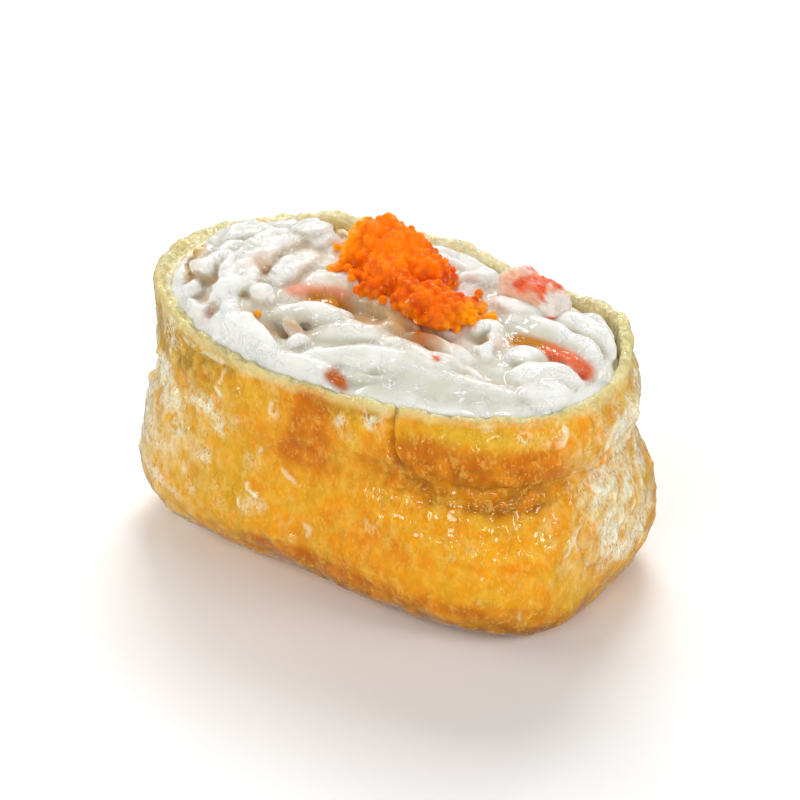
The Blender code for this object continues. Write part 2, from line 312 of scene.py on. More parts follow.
# %% Relief of the skin
SLIT_TOP, SLIT_END = 1.0, 0.74  # height shares
VEIN_LIFT = 1.4  # how much higher the veins stand than listed
VEINS = (  # width and height in mm, then the path as direction and height share
    (0.42, 0.55, ((14, 0.87), (14.3, 0.83), (16.2, 0.758), (13.2, 0.708), (4.5, 0.713),
                  (-4, 0.73), (-7.8, 0.713))),
    (0.36, 0.35, ((-15.5, 0.97), (-13, 0.922), (-15.2, 0.90))),
    (0.40, 0.45, ((2.8, 0.922), (-3, 0.91), (-9, 0.902), (-8.8, 0.86), (-10, 0.80), (-7.5, 0.79))),
    (0.34, 0.35, ((2.5, 0.792), (0.2, 0.782), (-0.8, 0.743))),
    (0.50, 0.35, ((-24.2, 0.96), (-23.2, 0.922), (-25, 0.895), (-27, 0.897))),
    (0.34, 0.25, ((-23, 0.853), (-24.2, 0.838), (-21.5, 0.81))),
    (0.60, 0.35, ((5, 0.585), (2.5, 0.56), (-5.2, 0.583), (-9.8, 0.628))),
    (0.40, 0.40, ((-11.8, 0.54), (-14.5, 0.522), (-18.8, 0.492), (-21.8, 0.468), (-21.2, 0.43),
                  (-19.2, 0.367), (-17.2, 0.328), (-19, 0.302), (-19.8, 0.27))),
    (0.36, 0.30, ((-21.8, 0.468), (-23.5, 0.422), (-25.8, 0.398))),
    (0.36, 0.25, ((-17.2, 0.328), (-11.5, 0.30), (-6.2, 0.268))),
    (0.36, 0.25, ((6.8, 0.445), (5.8, 0.383), (-1, 0.393))),
    (0.34, 0.20, ((1.2, 0.395), (3, 0.348), (2.2, 0.315))),
    (0.34, 0.20, ((-6, 0.557), (-8.5, 0.517), (-7, 0.47))),
    (0.36, 0.25, ((14, 0.495), (14.5, 0.435), (13.5, 0.398))),
    (0.36, 0.20, ((17.8, 0.31), (19.8, 0.242), (18.8, 0.195))),
    (0.34, 0.20, ((-40.2, 0.255), (-40, 0.175))),
    (0.50, 0.35, ((-127.7, 0.97), (-125.2, 0.955), (-119.5, 0.972), (-115, 0.972),
                  (-112.5, 0.975))),
    (0.40, 0.35, ((-137.8, 0.86), (-140.8, 0.775), (-145.5, 0.677), (-150, 0.58), (-150.2, 0.53))),
    (0.36, 0.25, ((-133.2, 0.725), (-130.8, 0.67), (-128, 0.635))),
    (0.38, 0.35, ((-122.5, 0.688), (-122.5, 0.725), (-120.2, 0.765), (-117.5, 0.763),
                  (-115.5, 0.735))),
    (0.45, 0.35, ((-109, 0.883), (-108.8, 0.828), (-110.2, 0.772))),
    (0.34, 0.25, ((-112.8, 0.95), (-113, 0.91), (-115.2, 0.84), (-113.2, 0.81))),
    (0.36, 0.25, ((-98.5, 0.92), (-99.2, 0.845), (-98.3, 0.823))),
    (0.34, 0.25, ((-104, 0.785), (-103.8, 0.728), (-102.5, 0.705))),
    (0.40, 0.25, ((-102, 0.647), (-103, 0.593))),
    (0.36, 0.25, ((-105.2, 0.473), (-104.2, 0.43), (-101.5, 0.41))),
    (0.45, 0.30, ((-96, 0.33), (-94.2, 0.297), (-92, 0.273))),
    (0.40, 0.25, ((-106.8, 0.383), (-106.5, 0.34))),
    (0.50, 0.30, ((-90.2, 0.372), (-88.5, 0.355), (-88.8, 0.318))),
    (0.34, 0.25, ((-132.5, 0.873), (-133, 0.802), (-130, 0.768))),
    (0.34, 0.20, ((-132, 0.473), (-130.5, 0.417))),
    (0.34, 0.20, ((-125.2, 0.54), (-122, 0.53))),
    (0.34, 0.20, ((-97, 0.578), (-95.2, 0.54), (-92.2, 0.522))),
    (0.34, 0.20, ((-127, 0.807), (-123, 0.853))),
    (0.45, 0.40, ((158, 0.93), (162, 0.86), (159, 0.78), (166, 0.70))),
    (0.40, 0.35, ((172, 0.56), (168, 0.50), (174, 0.42), (170, 0.36))),
    (0.40, 0.30, ((48, 0.90), (44, 0.82), (50, 0.74))),
    (0.40, 0.30, ((74, 0.60), (78, 0.52), (72, 0.44))),
    (0.40, 0.30, ((108, 0.88), (112, 0.80), (106, 0.74))),
    (0.40, 0.30, ((134, 0.58), (130, 0.50), (137, 0.40))),
)
LIPS = (  # direction, height share, slope of the line, reach round, overhang in mm
    (2, 0.700, -0.0008, 22, 1.40),
    (-48, 0.665, 0.0008, 20, 0.60),
    (-44, 0.728, 0.0, 17, 0.40),
    (-42, 0.635, 0.0006, 16, 0.30),
    (176, 0.735, 0.0006, 26, 0.55),
    (-148, 0.750, -0.0012, 20, 0.35),
    (120, 0.665, 0.0010, 34, 0.60),
    (62, 0.715, -0.0012, 26, 0.55),
    (-108, 0.140, 0.0030, 12, 0.40),
)


def slit_line(share):
    """Direction of the slit at a height: nearly upright, swaying, then off to the right."""
    down = np.clip((SLIT_TOP - share) / (SLIT_TOP - SLIT_END), 0, 1.2)
    return -67.6 - 1.6 * np.sin(down * 2.6) + 3.6 * down**2


def slit_relief(angle, share):
    """A narrow groove along the slit, and the left flap standing over the right one."""
    aside = turn_to(angle, 0) - slit_line(share)
    open_part = ease((share - SLIT_END) / 0.05)
    groove = -1.0 * MM * bell(aside, 0.7) * open_part
    flap = 0.5 * MM * np.where(aside < 0, bell(aside, 9), -0.5 * bell(aside, 5)) * open_part
    return groove + flap


def veins(points):
    """Height in metres, and strength from 0 to 1, of the placed veins: a bell of the
    distance to the nearest stretch of each path, lower towards the path's ends."""
    wiggled = points + 0.35 * MM * np.stack([noise(points, 1.7 * MM, 31 + k) for k in range(3)], -1)
    height, strength = np.zeros(points.shape[:-1]), np.zeros(points.shape[:-1])
    for width, rise, path in VEINS:
        degrees, share = np.array(path, float).T
        corners = wall(np.radians(degrees), share)
        for k in range(len(corners) - 1):
            start, run = corners[k], corners[k + 1] - corners[k]
            near = np.clip(((wiggled - start) @ run) / (run @ run), 0, 1)
            gap = np.linalg.norm(wiggled - start - near[..., None] * run, axis=-1)
            done = (k + near) / (len(corners) - 1)
            line = bell(gap, width * MM) * (0.45 + 0.55 * ease(4 * done * (1 - done) * 1.5))
            height = np.maximum(height, VEIN_LIFT * rise * MM * line)
            strength = np.maximum(strength, line)
    return height, strength


def fold_over(angle, share):
    """The skin above each lip stands out, falling off upwards as exp(-t / 0.07) of the
    height share; just below the lip it is drawn in, and comes back as exp(t / 0.05)."""
    lift = np.zeros(np.shape(share))
    for degrees, height, slope, side, overhang in LIPS:
        around = turn_to(angle, degrees)
        t = share - height - slope * around
        above = np.exp(-np.maximum(t, 0) / 0.07)
        below = -np.exp(np.minimum(t, 0) / 0.05)
        lift += overhang * MM * bell(around, side) * (below + (above - below) * ease(0.5 + t / 0.022))
    return lift


def wrinkles(points):
    """Crests that run mostly up and down: ridged noise on points squeezed in height and led
    astray by coarser noise, broken into short lengths by another noise."""
    squeezed = points * (1, 1, 0.6)
    led = wander(squeezed, 3.0 * MM, 1.3 * MM, 3)
    broken = ease(0.45 + 1.5 * noise(points, 2.6 * MM, 6))
    coarse = ridges(led, 2.4 * MM, 5, 3.4) * broken
    broken = ease(0.45 + 1.5 * noise(points, 1.7 * MM, 8))
    fine = ridges(wander(squeezed, 1.8 * MM, 0.8 * MM, 7), 1.5 * MM, 9, 3.0) * broken
    return coarse, fine


def pale_ends(angle, share):
    """1 at the right and left ends, where the film is thin and crumpled into a net."""
    right = bell(turn_to(angle, 6), 27) * ease((0.98 - share) / 0.1) * ease((share - 0.12) / 0.2)
    left = bell(turn_to(angle, -150), 30) * (1 - 0.8 * ease((share - 0.76) / 0.1))
    back = 0.7 * bell(turn_to(angle, 140), 40)
    return np.clip(np.maximum(np.maximum(right, left), back), 0, 1)


def skin_relief(angle, share, points):
    """How far the fine form stands out of the wall, in metres."""
    coarse, fine = wrinkles(points)
    ends = pale_ends(angle, share)
    dents = 0.42 * MM * noise(points, 7 * MM, 1) + 0.24 * MM * noise(points, 3.0 * MM, 2)
    dents += 0.12 * MM * noise(points, 1.5 * MM, 4)
    crests = (0.16 + 0.16 * ends) * MM * coarse + (0.10 + 0.08 * ends) * MM * fine
    return dents + crests + veins(points)[0] + slit_relief(angle, share) + fold_over(angle, share)


test_angle, test_share = np.meshgrid(np.linspace(-2.5, 0.5, 200), np.linspace(0.3, 1, 60))
test_relief = skin_relief(test_angle, test_share, wall(test_angle, test_share)) / MM
print("relief from", test_relief.min().round(2), "to", test_relief.max().round(2), "mm")

# %% [markdown]
# The skin's mesh follows its cut: up the outside, over the rough rim where the sponge
# between the two films shows, and down the inside to the floor under the filling. Rows lie
# close where the skin is seen and far apart where the filling covers it, and columns crowd
# together near the slit and at the crumpled right end, because grooves need points to be
# sharp.

# %% The skin's rows and columns
COLUMNS = 560
INSIDE_DEPTH = 0.66  # height share down to which the inside is finely wrinkled
INSIDE_SHIFT = 40 * MM  # gives the inside wrinkles of its own
RIM_ARCH = 1.7 * MM  # most that the cut edge rises between the two films


def crowded_angles(count):
    """Angles spread by a density that is higher near the slit and at the right end."""
    even = np.linspace(-math.pi, math.pi, 4000)
    density = 1 + 1.6 * bell(turn_to(even, -67), 5) + 0.25 * bell(turn_to(even, -20), 45)
    passed = np.concatenate([[0], np.cumsum((density[1:] + density[:-1]) / 2)])
    return np.interp(np.arange(count) / count, passed / passed[-1], even)


def grid_of(shares):
    """Angle and share for each point of the rows."""
    return np.meshgrid(crowded_angles(COLUMNS), shares)


def outside_rows():
    """The outer wall with its relief, which fades out on the flat base."""
    rounding = 0.29 * (1 - np.cos(np.linspace(0, math.pi / 2, 40)))
    angle, share = grid_of(np.concatenate([rounding, np.linspace(0.29, 1, 76)[1:]]))
    base = wall(angle, share)
    lift = skin_relief(angle, share, base) * ease(share / 0.10)
    points = base + lift[..., None] * wall_normals(angle, share)
    points[..., 2] += rim_tears(angle[0]) * ease((share - 0.94) / 0.06)
    points[..., 2] = np.maximum(points[..., 2], 0)
    return angle, share, points


def inside_rows():
    """The inner wall: the outer one moved in by the skin's thickness, wrinkled on its own."""
    shares = np.concatenate([np.linspace(1, INSIDE_DEPTH, 27), np.linspace(0.62, 0.02, 8)])
    angle, share = grid_of(shares)
    base = wall(angle, share)
    coarse, fine = wrinkles(base + INSIDE_SHIFT)
    lift = 0.20 * MM * (coarse - 0.3) + 0.14 * MM * (fine - 0.3)
    lift += 0.30 * MM * noise(base, 3.4 * MM, 41)
    lift *= ease((share - INSIDE_DEPTH) / 0.05)
    points = base - (skin_depth(angle, share) + lift)[..., None] * wall_normals(angle, share)
    points[..., 2] += rim_tears(angle[0]) * ease((share - 0.94) / 0.06)
    return angle, share, points


def rim_rows(outer_edge, inner_edge, layered, count=14):
    """Arches from the outer to the inner edge, as high as half the skin or the limit,
    roughened like torn sponge, with a groove where the skin shows its layers."""
    middle, half = (outer_edge + inner_edge) / 2, (outer_edge - inner_edge) / 2
    bend = np.linspace(0, math.pi, count + 2)[1:-1, None, None]
    up = np.minimum(np.linalg.norm(half, axis=-1, keepdims=True), RIM_ARCH) * (0, 0, 1)
    rows = middle + half * np.cos(bend) + up * np.sin(bend)
    rough = 0.40 * noise(rows, 0.8 * MM, 51) + 0.42 * noise(rows, 2.2 * MM, 52)
    rough -= 0.9 * layered * bell(bend[..., 0] - 0.5 * math.pi, 0.3)
    rows[..., 2] += MM * rough * np.sin(bend[..., 0])
    return rows


outer_angle, outer_share, outer = outside_rows()
inner_angle, inner_share, inner = inside_rows()
layered = bell(turn_to(outer_angle[-1], -170), 42)
rim = rim_rows(outer[-1], inner[0], layered)
base_rings = outer[:1] * (np.array([0.3, 0.6, 0.85])[:, None, None] * (1, 1, 0) + (0, 0, 1))
floor_rings = inner[-1:] * (np.array([0.8, 0.4])[:, None, None] * (1, 1, 0) + (0, 0, 1))
skin_rows = np.concatenate([base_rings, outer, rim, inner, floor_rings])
print("skin:", skin_rows.shape[0], "rows of", skin_rows.shape[1], "points")

# %% [markdown]
# The colour of simmered tofu is never one gold. It is deep orange where the film is thick
# and steeped, cream where the sponge shows through at the ends and along the rim, and pale
# on the crests of the wrinkles. Shade is painted in as well: ochre and deep orange in the
# creases under the folds and along the bottom, olive below the front rim, and the straw
# patches at the ends stand partly for painted rim light. Most of these are short lists of
# soft patches on the wall, blended one over the other, and noise frays their edges. The
# fourth number of the stored colour is free, so it says how pale the finest threads are.

# %% Colours of the skin
GOLD = tone(234, 158, 14)
BRIGHT = tone(246, 168, 14)
ORANGE = tone(242, 144, 0)
# deep orange: steeped film, and painted shade under the collar and along the bottom
SOAKED_AND_SHADE = tone(204, 108, 0)
# painted shade in the creases and along the bottom
OCHRE_SHADE = tone(170, 100, 0)
HONEY_SKIN = tone(228, 168, 32)
# olive: a green cast on the rim, and painted shade below the front rim
OLIVE = tone(176, 130, 36)
PEACH = tone(230, 164, 50)
STRAW = tone(232, 184, 74)
LEMON = tone(226, 176, 36)
PALE_GOLD = tone(248, 200, 58)
CREAM = tone(254, 250, 222)
SPONGE = tone(228, 219, 156)

PATCHES = {  # direction, height share, reach round, reach up, strength
    "bright": (
        BRIGHT,
        ((-45, 0.44, 26, 0.13, 1.0), (-76, 0.44, 14, 0.14, 0.8), (-95, 0.42, 12, 0.16, 0.8),
         (-60, 0.30, 20, 0.08, 0.5), (60, 0.40, 30, 0.16, 0.8), (120, 0.44, 24, 0.16, 0.8)),
    ),
    "orange": (
        ORANGE,
        ((-70, 0.36, 10, 0.15, 0.9), (-80, 0.46, 6, 0.08, 0.6), (-41, 0.41, 10, 0.05, 0.8),
         (-97, 0.62, 5, 0.10, 0.5), (-104, 0.74, 6, 0.05, 0.5), (-93, 0.30, 10, 0.07, 0.5),
         (-26, 0.88, 7, 0.05, 0.8), (92, 0.40, 20, 0.16, 0.7), (40, 0.30, 20, 0.14, 0.5)),
    ),
    # steeped film in places; most of these stand under the collar's lips and along the bottom as
    # painted shade
    "soaked_and_shaded": (
        SOAKED_AND_SHADE,
        ((-88, 0.93, 5.5, 0.07, 1.3), (-89, 0.79, 6, 0.13, 1.4), (-92, 0.66, 7.5, 0.06, 0.9),
         (-44, 0.76, 25, 0.11, 1.0), (-66, 0.68, 9, 0.06, 0.5), (-58, 0.86, 8, 0.07, 1.5),
         (-70, 0.20, 46, 0.055, 0.8), (-33, 0.80, 9, 0.08, 1.3), (-22, 0.10, 16, 0.06, 1.1),
         (-100, 0.20, 22, 0.05, 0.6), (100, 0.74, 16, 0.10, 0.8), (150, 0.22, 50, 0.06, 0.7),
         (60, 0.20, 40, 0.06, 0.7)),
    ),
    # painted shade: creases under the lips, and the bottom edge
    "ochre": (
        OCHRE_SHADE,
        ((-44, 0.70, 26, 0.065, 1.1), (-38, 0.62, 14, 0.03, 0.5), (-50, 0.07, 36, 0.09, 1.0),
         (-96, 0.12, 30, 0.05, 0.7), (-60, 0.77, 10, 0.012, 0.5), (-44, 0.80, 14, 0.012, 0.5),
         (-43, 0.718, 17, 0.012, 0.8), (-41, 0.625, 16, 0.012, 0.6), (-60, 0.813, 5, 0.006, 0.7),
         (0, 0.675, 22, 0.018, 0.5), (120, 0.08, 90, 0.08, 0.8)),
    ),
    "honey": (
        HONEY_SKIN,
        ((-123, 0.50, 17, 0.50, 1.0), (-109, 0.48, 8, 0.14, 0.7), (-106, 0.90, 8, 0.06, 0.5),
         (-74, 0.92, 5, 0.07, 0.6), (-24, 0.34, 8, 0.16, 0.6), (30, 0.60, 20, 0.40, 0.7),
         (-20, 0.20, 9, 0.10, 1.0), (165, 0.50, 22, 0.40, 0.8)),
    ),
    # painted shade below the front rim
    "olive": (
        OLIVE,
        ((-123, 0.90, 9, 0.06, 0.9), (-112, 0.965, 12, 0.03, 0.7),
         (-138, 0.88, 16, 0.11, 1.4), (-64, 0.90, 4, 0.04, 0.3), (-76, 0.955, 9, 0.035, 0.9)),
    ),
    "peach": (PEACH, ((-12, 0.80, 11, 0.12, 0.8), (-8, 0.66, 10, 0.05, 0.6))),
    # paler skin at both ends, standing also for painted rim light
    "straw": (
        STRAW,
        ((-152, 0.62, 16, 0.40, 1.0), (-142, 0.36, 11, 0.16, 0.9), (6, 0.42, 17, 0.22, 0.7),
         (-10, 0.53, 8, 0.07, 0.5), (16, 0.80, 11, 0.26, 0.8),
         (175, 0.50, 22, 0.34, 0.7), (4, 0.95, 14, 0.05, 0.6)),
    ),
    "cream": (
        CREAM,
        ((3.5, 0.565, 2.2, 0.012, 1.0), (-1.8, 0.555, 1.8, 0.010, 0.9),
         (-25.2, 0.902, 1.6, 0.016, 1.0),
         (-14.8, 0.575, 2.4, 0.012, 0.9), (9, 0.64, 3.0, 0.010, 0.9), (12, 0.50, 1.6, 0.04, 0.7),
         (18, 0.60, 2.0, 0.05, 0.7), (-132, 0.62, 1.6, 0.030, 0.6), (-146, 0.45, 1.6, 0.04, 0.6)),
    ),
    "lemon": (
        LEMON,
        ((-46, 0.93, 15, 0.04, 0.9), (-58, 0.96, 10, 0.03, 0.5), (-112, 0.24, 12, 0.08, 0.4),
         (40, 0.94, 24, 0.06, 0.7), (110, 0.93, 50, 0.06, 0.7)),
    ),
}


def skin_colours(angle, share, points):
    """Gold, then each kind of patch blended over it by the sum of its bells, frayed by
    noise, painted shade among them; then streaks of honey, islands of orange, pale crests and
    a lighter rim. The fourth number grows towards the ends and falls on the deep orange and
    shade patches and on the smooth ones."""
    frayed = 0.6 * noise(points, 4.5 * MM, 61) + 0.5 * noise(points, 1.8 * MM, 62)
    colours = np.broadcast_to(GOLD, (*share.shape, 3))
    soaked_and_shaded = smooth = 0
    for name, (colour, patches) in PATCHES.items():
        weight = sum(
            strength * bell(turn_to(angle, degrees), side) * bell(share - height, up)
            for degrees, height, side, up, strength in patches
        )
        weight = ease(weight + 0.5 * frayed * ease(weight / 0.1))
        colours = mix(colours, colour, weight)
        if name in ("soaked_and_shaded", "ochre"):
            soaked_and_shaded = np.maximum(soaked_and_shaded, weight)
        elif name in ("bright", "orange"):
            smooth = np.maximum(smooth, weight)
    ends = pale_ends(angle, share)
    streaks = noise(points * (1, 1, 0.6), 2.6 * MM, 64)
    colours = mix(colours, HONEY_SKIN, 0.55 * ease(0.1 + 1.8 * streaks) * (1 - 0.8 * soaked_and_shaded))
    islands = ease(0.05 + 2.2 * noise(points * (1, 1, 0.8), 2.3 * MM, 65))
    colours = mix(colours, ORANGE, (0.48 - 0.16 * ends) * islands)
    coarse, fine = wrinkles(points)
    pale = ((0.36 + 0.45 * ends) * coarse + (0.3 + 0.35 * ends) * fine) * (1 - 0.7 * soaked_and_shaded)
    placed = veins(points)[1]
    pale = np.maximum(pale, 0.6 * placed)
    creamy = np.maximum(ends, 0.7 * placed)
    crest_colours = mix(np.broadcast_to(PALE_GOLD, colours.shape), CREAM, creamy)
    colours = mix(colours, crest_colours, np.clip(pale, 0, 0.95))
    top = ease((share - 0.965 - 0.02 * frayed) / 0.035)
    top *= 1 - 0.6 * bell(turn_to(angle, -38), 20) - 0.6 * bell(turn_to(angle, -88), 7)
    colours = mix(colours, SPONGE, 0.75 * top)
    broken = 0.5 * noise(points, 7 * MM, 66) + 0.45 * noise(points, 3 * MM, 67)
    cover = 0.26 + broken + 0.42 * ends - 0.55 * soaked_and_shaded - 0.2 * smooth
    return np.concatenate([colours, np.clip(cover, 0, 1)[..., None]], -1)


def with_paleness(colours, paleness):
    """Colours with the same fourth number all over."""
    return np.concatenate([colours, np.full((*colours.shape[:-1], 1), paleness)], -1)


outer_colours = skin_colours(outer_angle, outer_share, outer)
pale_noise = 0.5 + 0.5 * noise(rim, 1.6 * MM, 71)
pale_rim = 0.25 * pale_noise + 0.4 * bell(turn_to(outer_angle[:1], 100), 45)
inwards = np.linspace(0, 1, len(rim))[:, None]
pale_rim = np.maximum(pale_rim, 0.8 * layered * ease((inwards - 0.5) / 0.2))
rim_colours = mix(SPONGE, CREAM, np.clip(pale_rim, 0, 0.9))
green_rim = ease(0.1 + 2 * noise(rim, 1.1 * MM, 72)) * (1 - pale_rim)
rim_colours = mix(rim_colours, OLIVE, 0.35 * green_rim)
rim_colours = mix(outer_colours[-1:, :, :3], rim_colours, ease(3 * inwards))
inner_coarse = wrinkles(inner + INSIDE_SHIFT)[0]
golden = bell(turn_to(inner_angle, 128), 22)
inner_shade = ease((1 - inner_share) / (0.14 - 0.08 * golden))
inner_colours = mix(SPONGE, mix(STRAW, GOLD, 0.5 + 0.5 * inner_shade), inner_shade)
inner_colours = mix(inner_colours, OLIVE, 0.7 * golden * inner_shade)
inner_colours = mix(inner_colours, CREAM, 0.35 * inner_coarse**2)
skin_colour_rows = np.concatenate(
    [
        # the underside, in painted shade
        with_paleness(np.broadcast_to(OCHRE_SHADE, base_rings.shape), 0.2),
        outer_colours,
        with_paleness(rim_colours, 0.35),
        with_paleness(inner_colours, 0.45),
        with_paleness(np.broadcast_to(GOLD, floor_rings.shape), 0.2),
    ]
)
print("mean colour of the outside, as light:", outer_colours.mean((0, 1)).round(3))

# %% [markdown]
# What is finer than the mesh goes into the materials. What they use more than once is a
# node group, built once: mottling, which makes a colour uneven, wet wrinkles, the fine
# squiggly crests of a moist film, and a net of threads. A group only hands out values, and
# each material decides what to do with them.

# %% Node helpers


def new_group(name, inputs, outputs):
    """An empty node group that takes a Place and named numbers with their usual values,
    and gives named numbers; and its input and output nodes."""
    group = bpy.data.node_groups.new(name, "ShaderNodeTree")
    group.interface.new_socket("Place", in_out="INPUT", socket_type="NodeSocketVector")
    for label, value in inputs.items():
        socket = group.interface.new_socket(label, in_out="INPUT", socket_type="NodeSocketFloat")
        socket.default_value = value
    for label in outputs:
        group.interface.new_socket(label, in_out="OUTPUT", socket_type="NodeSocketFloat")
    return group, group.nodes.new("NodeGroupInput"), group.nodes.new("NodeGroupOutput")


def add(tree, kind, **settings):
    """A node with its sockets' values, or its own settings, given by name."""
    node = tree.nodes.new(kind)
    for name, value in settings.items():
        label = name.replace("_", " ").title()
        if label in node.inputs:
            node.inputs[label].default_value = value
        else:
            setattr(node, name, value)
    return node


def math_node(tree, operation, first, second=None):
    """A Math node on sockets or numbers; gives its output socket."""
    node = add(tree, "ShaderNodeMath", operation=operation)
    for socket, value in zip(node.inputs, (first, second)):
        if isinstance(value, bpy.types.NodeSocket):
            tree.links.new(value, socket)
        elif value is not None:
            socket.default_value = value
    return node.outputs[0]


def remap(tree, value, low, high, to_low, to_high):
    """A smooth Map Range node; gives its output socket."""
    node = add(tree, "ShaderNodeMapRange", interpolation_type="SMOOTHSTEP")
    node.inputs["From Min"].default_value = low
    node.inputs["From Max"].default_value = high
    node.inputs["To Min"].default_value = to_low
    node.inputs["To Max"].default_value = to_high
    tree.links.new(value, node.inputs["Value"])
    return node.outputs["Result"]


def blend_colours(tree, share, first, second, blend_type="MIX"):
    """A Mix node on colours, each a socket or a fixed colour; gives its output socket."""
    node = add(tree, "ShaderNodeMix", data_type="RGBA", blend_type=blend_type)
    for number, value in ((0, share), (6, first), (7, second)):
        socket = node.inputs[number]
        if isinstance(value, bpy.types.NodeSocket):
            tree.links.new(value, socket)
        else:
            socket.default_value = value
    return node.outputs[2]


def gated(tree, line, gate, cover, low, high):
    """The line, let through as the gate's noise plus a third of Cover goes from low to
    high."""
    raised = math_node(tree, "ADD", gate.outputs[0], math_node(tree, "MULTIPLY", cover, 0.34))
    return math_node(tree, "MULTIPLY", line, remap(tree, raised, low, high, 0.0, 1.0))


print("node helpers ready")

# %% Mottling, shared by every food here


def make_mottling():
    """Noise at two sizes gives Tone, which hovers round 1 by up to Contrast."""
    group, given, out = new_group("mottling", {"Scale": 500.0, "Contrast": 0.2}, ["Tone"])
    coarse = add(group, "ShaderNodeTexNoise", detail=3.0, roughness=0.55)
    fine = add(group, "ShaderNodeTexNoise", detail=2.0, distortion=0.6)
    for node in (coarse, fine):
        group.links.new(given.outputs["Place"], node.inputs["Vector"])
    group.links.new(given.outputs["Scale"], coarse.inputs["Scale"])
    finer = math_node(group, "MULTIPLY", given.outputs["Scale"], 3.3)
    group.links.new(finer, fine.inputs["Scale"])
    both = math_node(group, "ADD", coarse.outputs[0], fine.outputs[0])
    centred = math_node(group, "SUBTRACT", both, 1.0)
    spread = math_node(group, "MULTIPLY", centred, given.outputs["Contrast"])
    group.links.new(math_node(group, "ADD", spread, 1.0), out.inputs["Tone"])
    return group


mottling = make_mottling()
print("group", mottling.name, "with", len(mottling.nodes), "nodes")

# %% Wet wrinkles, shared by the salad, the roe and the crab


def make_wet_wrinkles():
    """Crest is 1 along the lines where a swirled noise passes its middle, wherever a second
    noise lets it, so that lines stay short; more of them get through as Cover grows.
    Height adds a fainter, finer noise to it."""
    group, given, out = new_group(
        "wet_wrinkles",
        {"Scale": 700.0, "Swirl": 1.5, "Width": 0.05, "Cover": 0.5},
        ["Crest", "Height"],
    )
    swirled = add(group, "ShaderNodeTexNoise", detail=1.5, roughness=0.5)
    gate = add(group, "ShaderNodeTexNoise", detail=1.0)
    fine = add(group, "ShaderNodeTexNoise", detail=3.0, roughness=0.6)
    for node, times in ((swirled, 1.0), (gate, 1.37), (fine, 3.1)):
        group.links.new(given.outputs["Place"], node.inputs["Vector"])
        size = math_node(group, "MULTIPLY", given.outputs["Scale"], times)
        group.links.new(size, node.inputs["Scale"])
    group.links.new(given.outputs["Swirl"], swirled.inputs["Distortion"])
    away = math_node(group, "ABSOLUTE", math_node(group, "SUBTRACT", swirled.outputs[0], 0.5))
    share = math_node(group, "DIVIDE", away, given.outputs["Width"])
    line = remap(group, share, 0.0, 1.0, 1.0, 0.0)
    crest = gated(group, line, gate, given.outputs["Cover"], 0.60, 0.72)
    group.links.new(crest, out.inputs["Crest"])
    faint = math_node(group, "MULTIPLY", fine.outputs[0], 0.6)
    group.links.new(math_node(group, "ADD", crest, faint), out.inputs["Height"])
    return group


wet_wrinkles = make_wet_wrinkles()
print("group", wet_wrinkles.name, "with", len(wet_wrinkles.nodes), "nodes")

# %% [markdown]
# Fried tofu skin is crumpled like a net: threads of film stand up between small hollows.
# The net is the border between the cells of a Voronoi pattern, led astray by noise, and it
# breaks up into loose flecks where little of it gets through.

# %% A net of threads, for the skin


def make_thread_net():
    """Crest is 1 on the borders of swirled cells, wherever a slow noise lets it; more gets
    through as Cover grows. Height is the crest, the cells' hollows and a fine grain."""
    group, given, out = new_group(
        "thread_net",
        {"Scale": 500.0, "Swirl": 0.8, "Width": 0.12, "Cover": 0.5},
        ["Crest", "Height"],
    )
    scaled = add(group, "ShaderNodeVectorMath", operation="SCALE")
    group.links.new(given.outputs["Place"], scaled.inputs[0])
    group.links.new(given.outputs["Scale"], scaled.inputs["Scale"])
    stir = add(group, "ShaderNodeTexNoise", detail=2.0, roughness=0.6)
    gate = add(group, "ShaderNodeTexNoise", detail=2.0)
    grain = add(group, "ShaderNodeTexNoise", detail=2.0)
    for node, size in ((stir, 0.9), (gate, 0.55), (grain, 3.5)):
        node.inputs["Scale"].default_value = size
        group.links.new(scaled.outputs[0], node.inputs["Vector"])
    stirred = add(group, "ShaderNodeVectorMath", operation="SCALE")
    group.links.new(stir.outputs["Color"], stirred.inputs[0])
    group.links.new(given.outputs["Swirl"], stirred.inputs["Scale"])
    moved = add(group, "ShaderNodeVectorMath", operation="ADD")
    group.links.new(scaled.outputs[0], moved.inputs[0])
    group.links.new(stirred.outputs[0], moved.inputs[1])
    cells = add(group, "ShaderNodeTexVoronoi", feature="DISTANCE_TO_EDGE")
    cells.inputs["Scale"].default_value = 1.0
    group.links.new(moved.outputs[0], cells.inputs["Vector"])
    away = cells.outputs["Distance"]
    line = remap(group, math_node(group, "DIVIDE", away, given.outputs["Width"]), 0.0, 1.0, 1.0, 0.0)
    crest = gated(group, line, gate, given.outputs["Cover"], 0.56, 0.70)
    group.links.new(crest, out.inputs["Crest"])
    slope = remap(group, away, 0.0, 0.45, 0.45, 0.0)
    form = math_node(group, "ADD", math_node(group, "MULTIPLY", crest, 0.5), slope)
    height = math_node(group, "ADD", form, math_node(group, "MULTIPLY", grain.outputs[0], 0.8))
    group.links.new(height, out.inputs["Height"])
    return group


thread_net = make_thread_net()
print("group", thread_net.name, "with", len(thread_net.nodes), "nodes")

# %% [markdown]
# All materials start and end in the same way: the stored tint made uneven by the mottling,
# and then the shader's own values with the wrinkles as relief. Moist food lets light in a
# little way, which is what subsurface scattering does, and its wet film is the shader's coat.

# %% The start and the end that all materials share


def place_group(tree, group, place, **values):
    """A node that uses a shared group at a place, with its own values."""
    node = tree.nodes.new("ShaderNodeGroup")
    node.node_tree = group
    tree.links.new(place, node.inputs["Place"])
    for name, value in values.items():
        node.inputs[name.title()].default_value = value
    return node


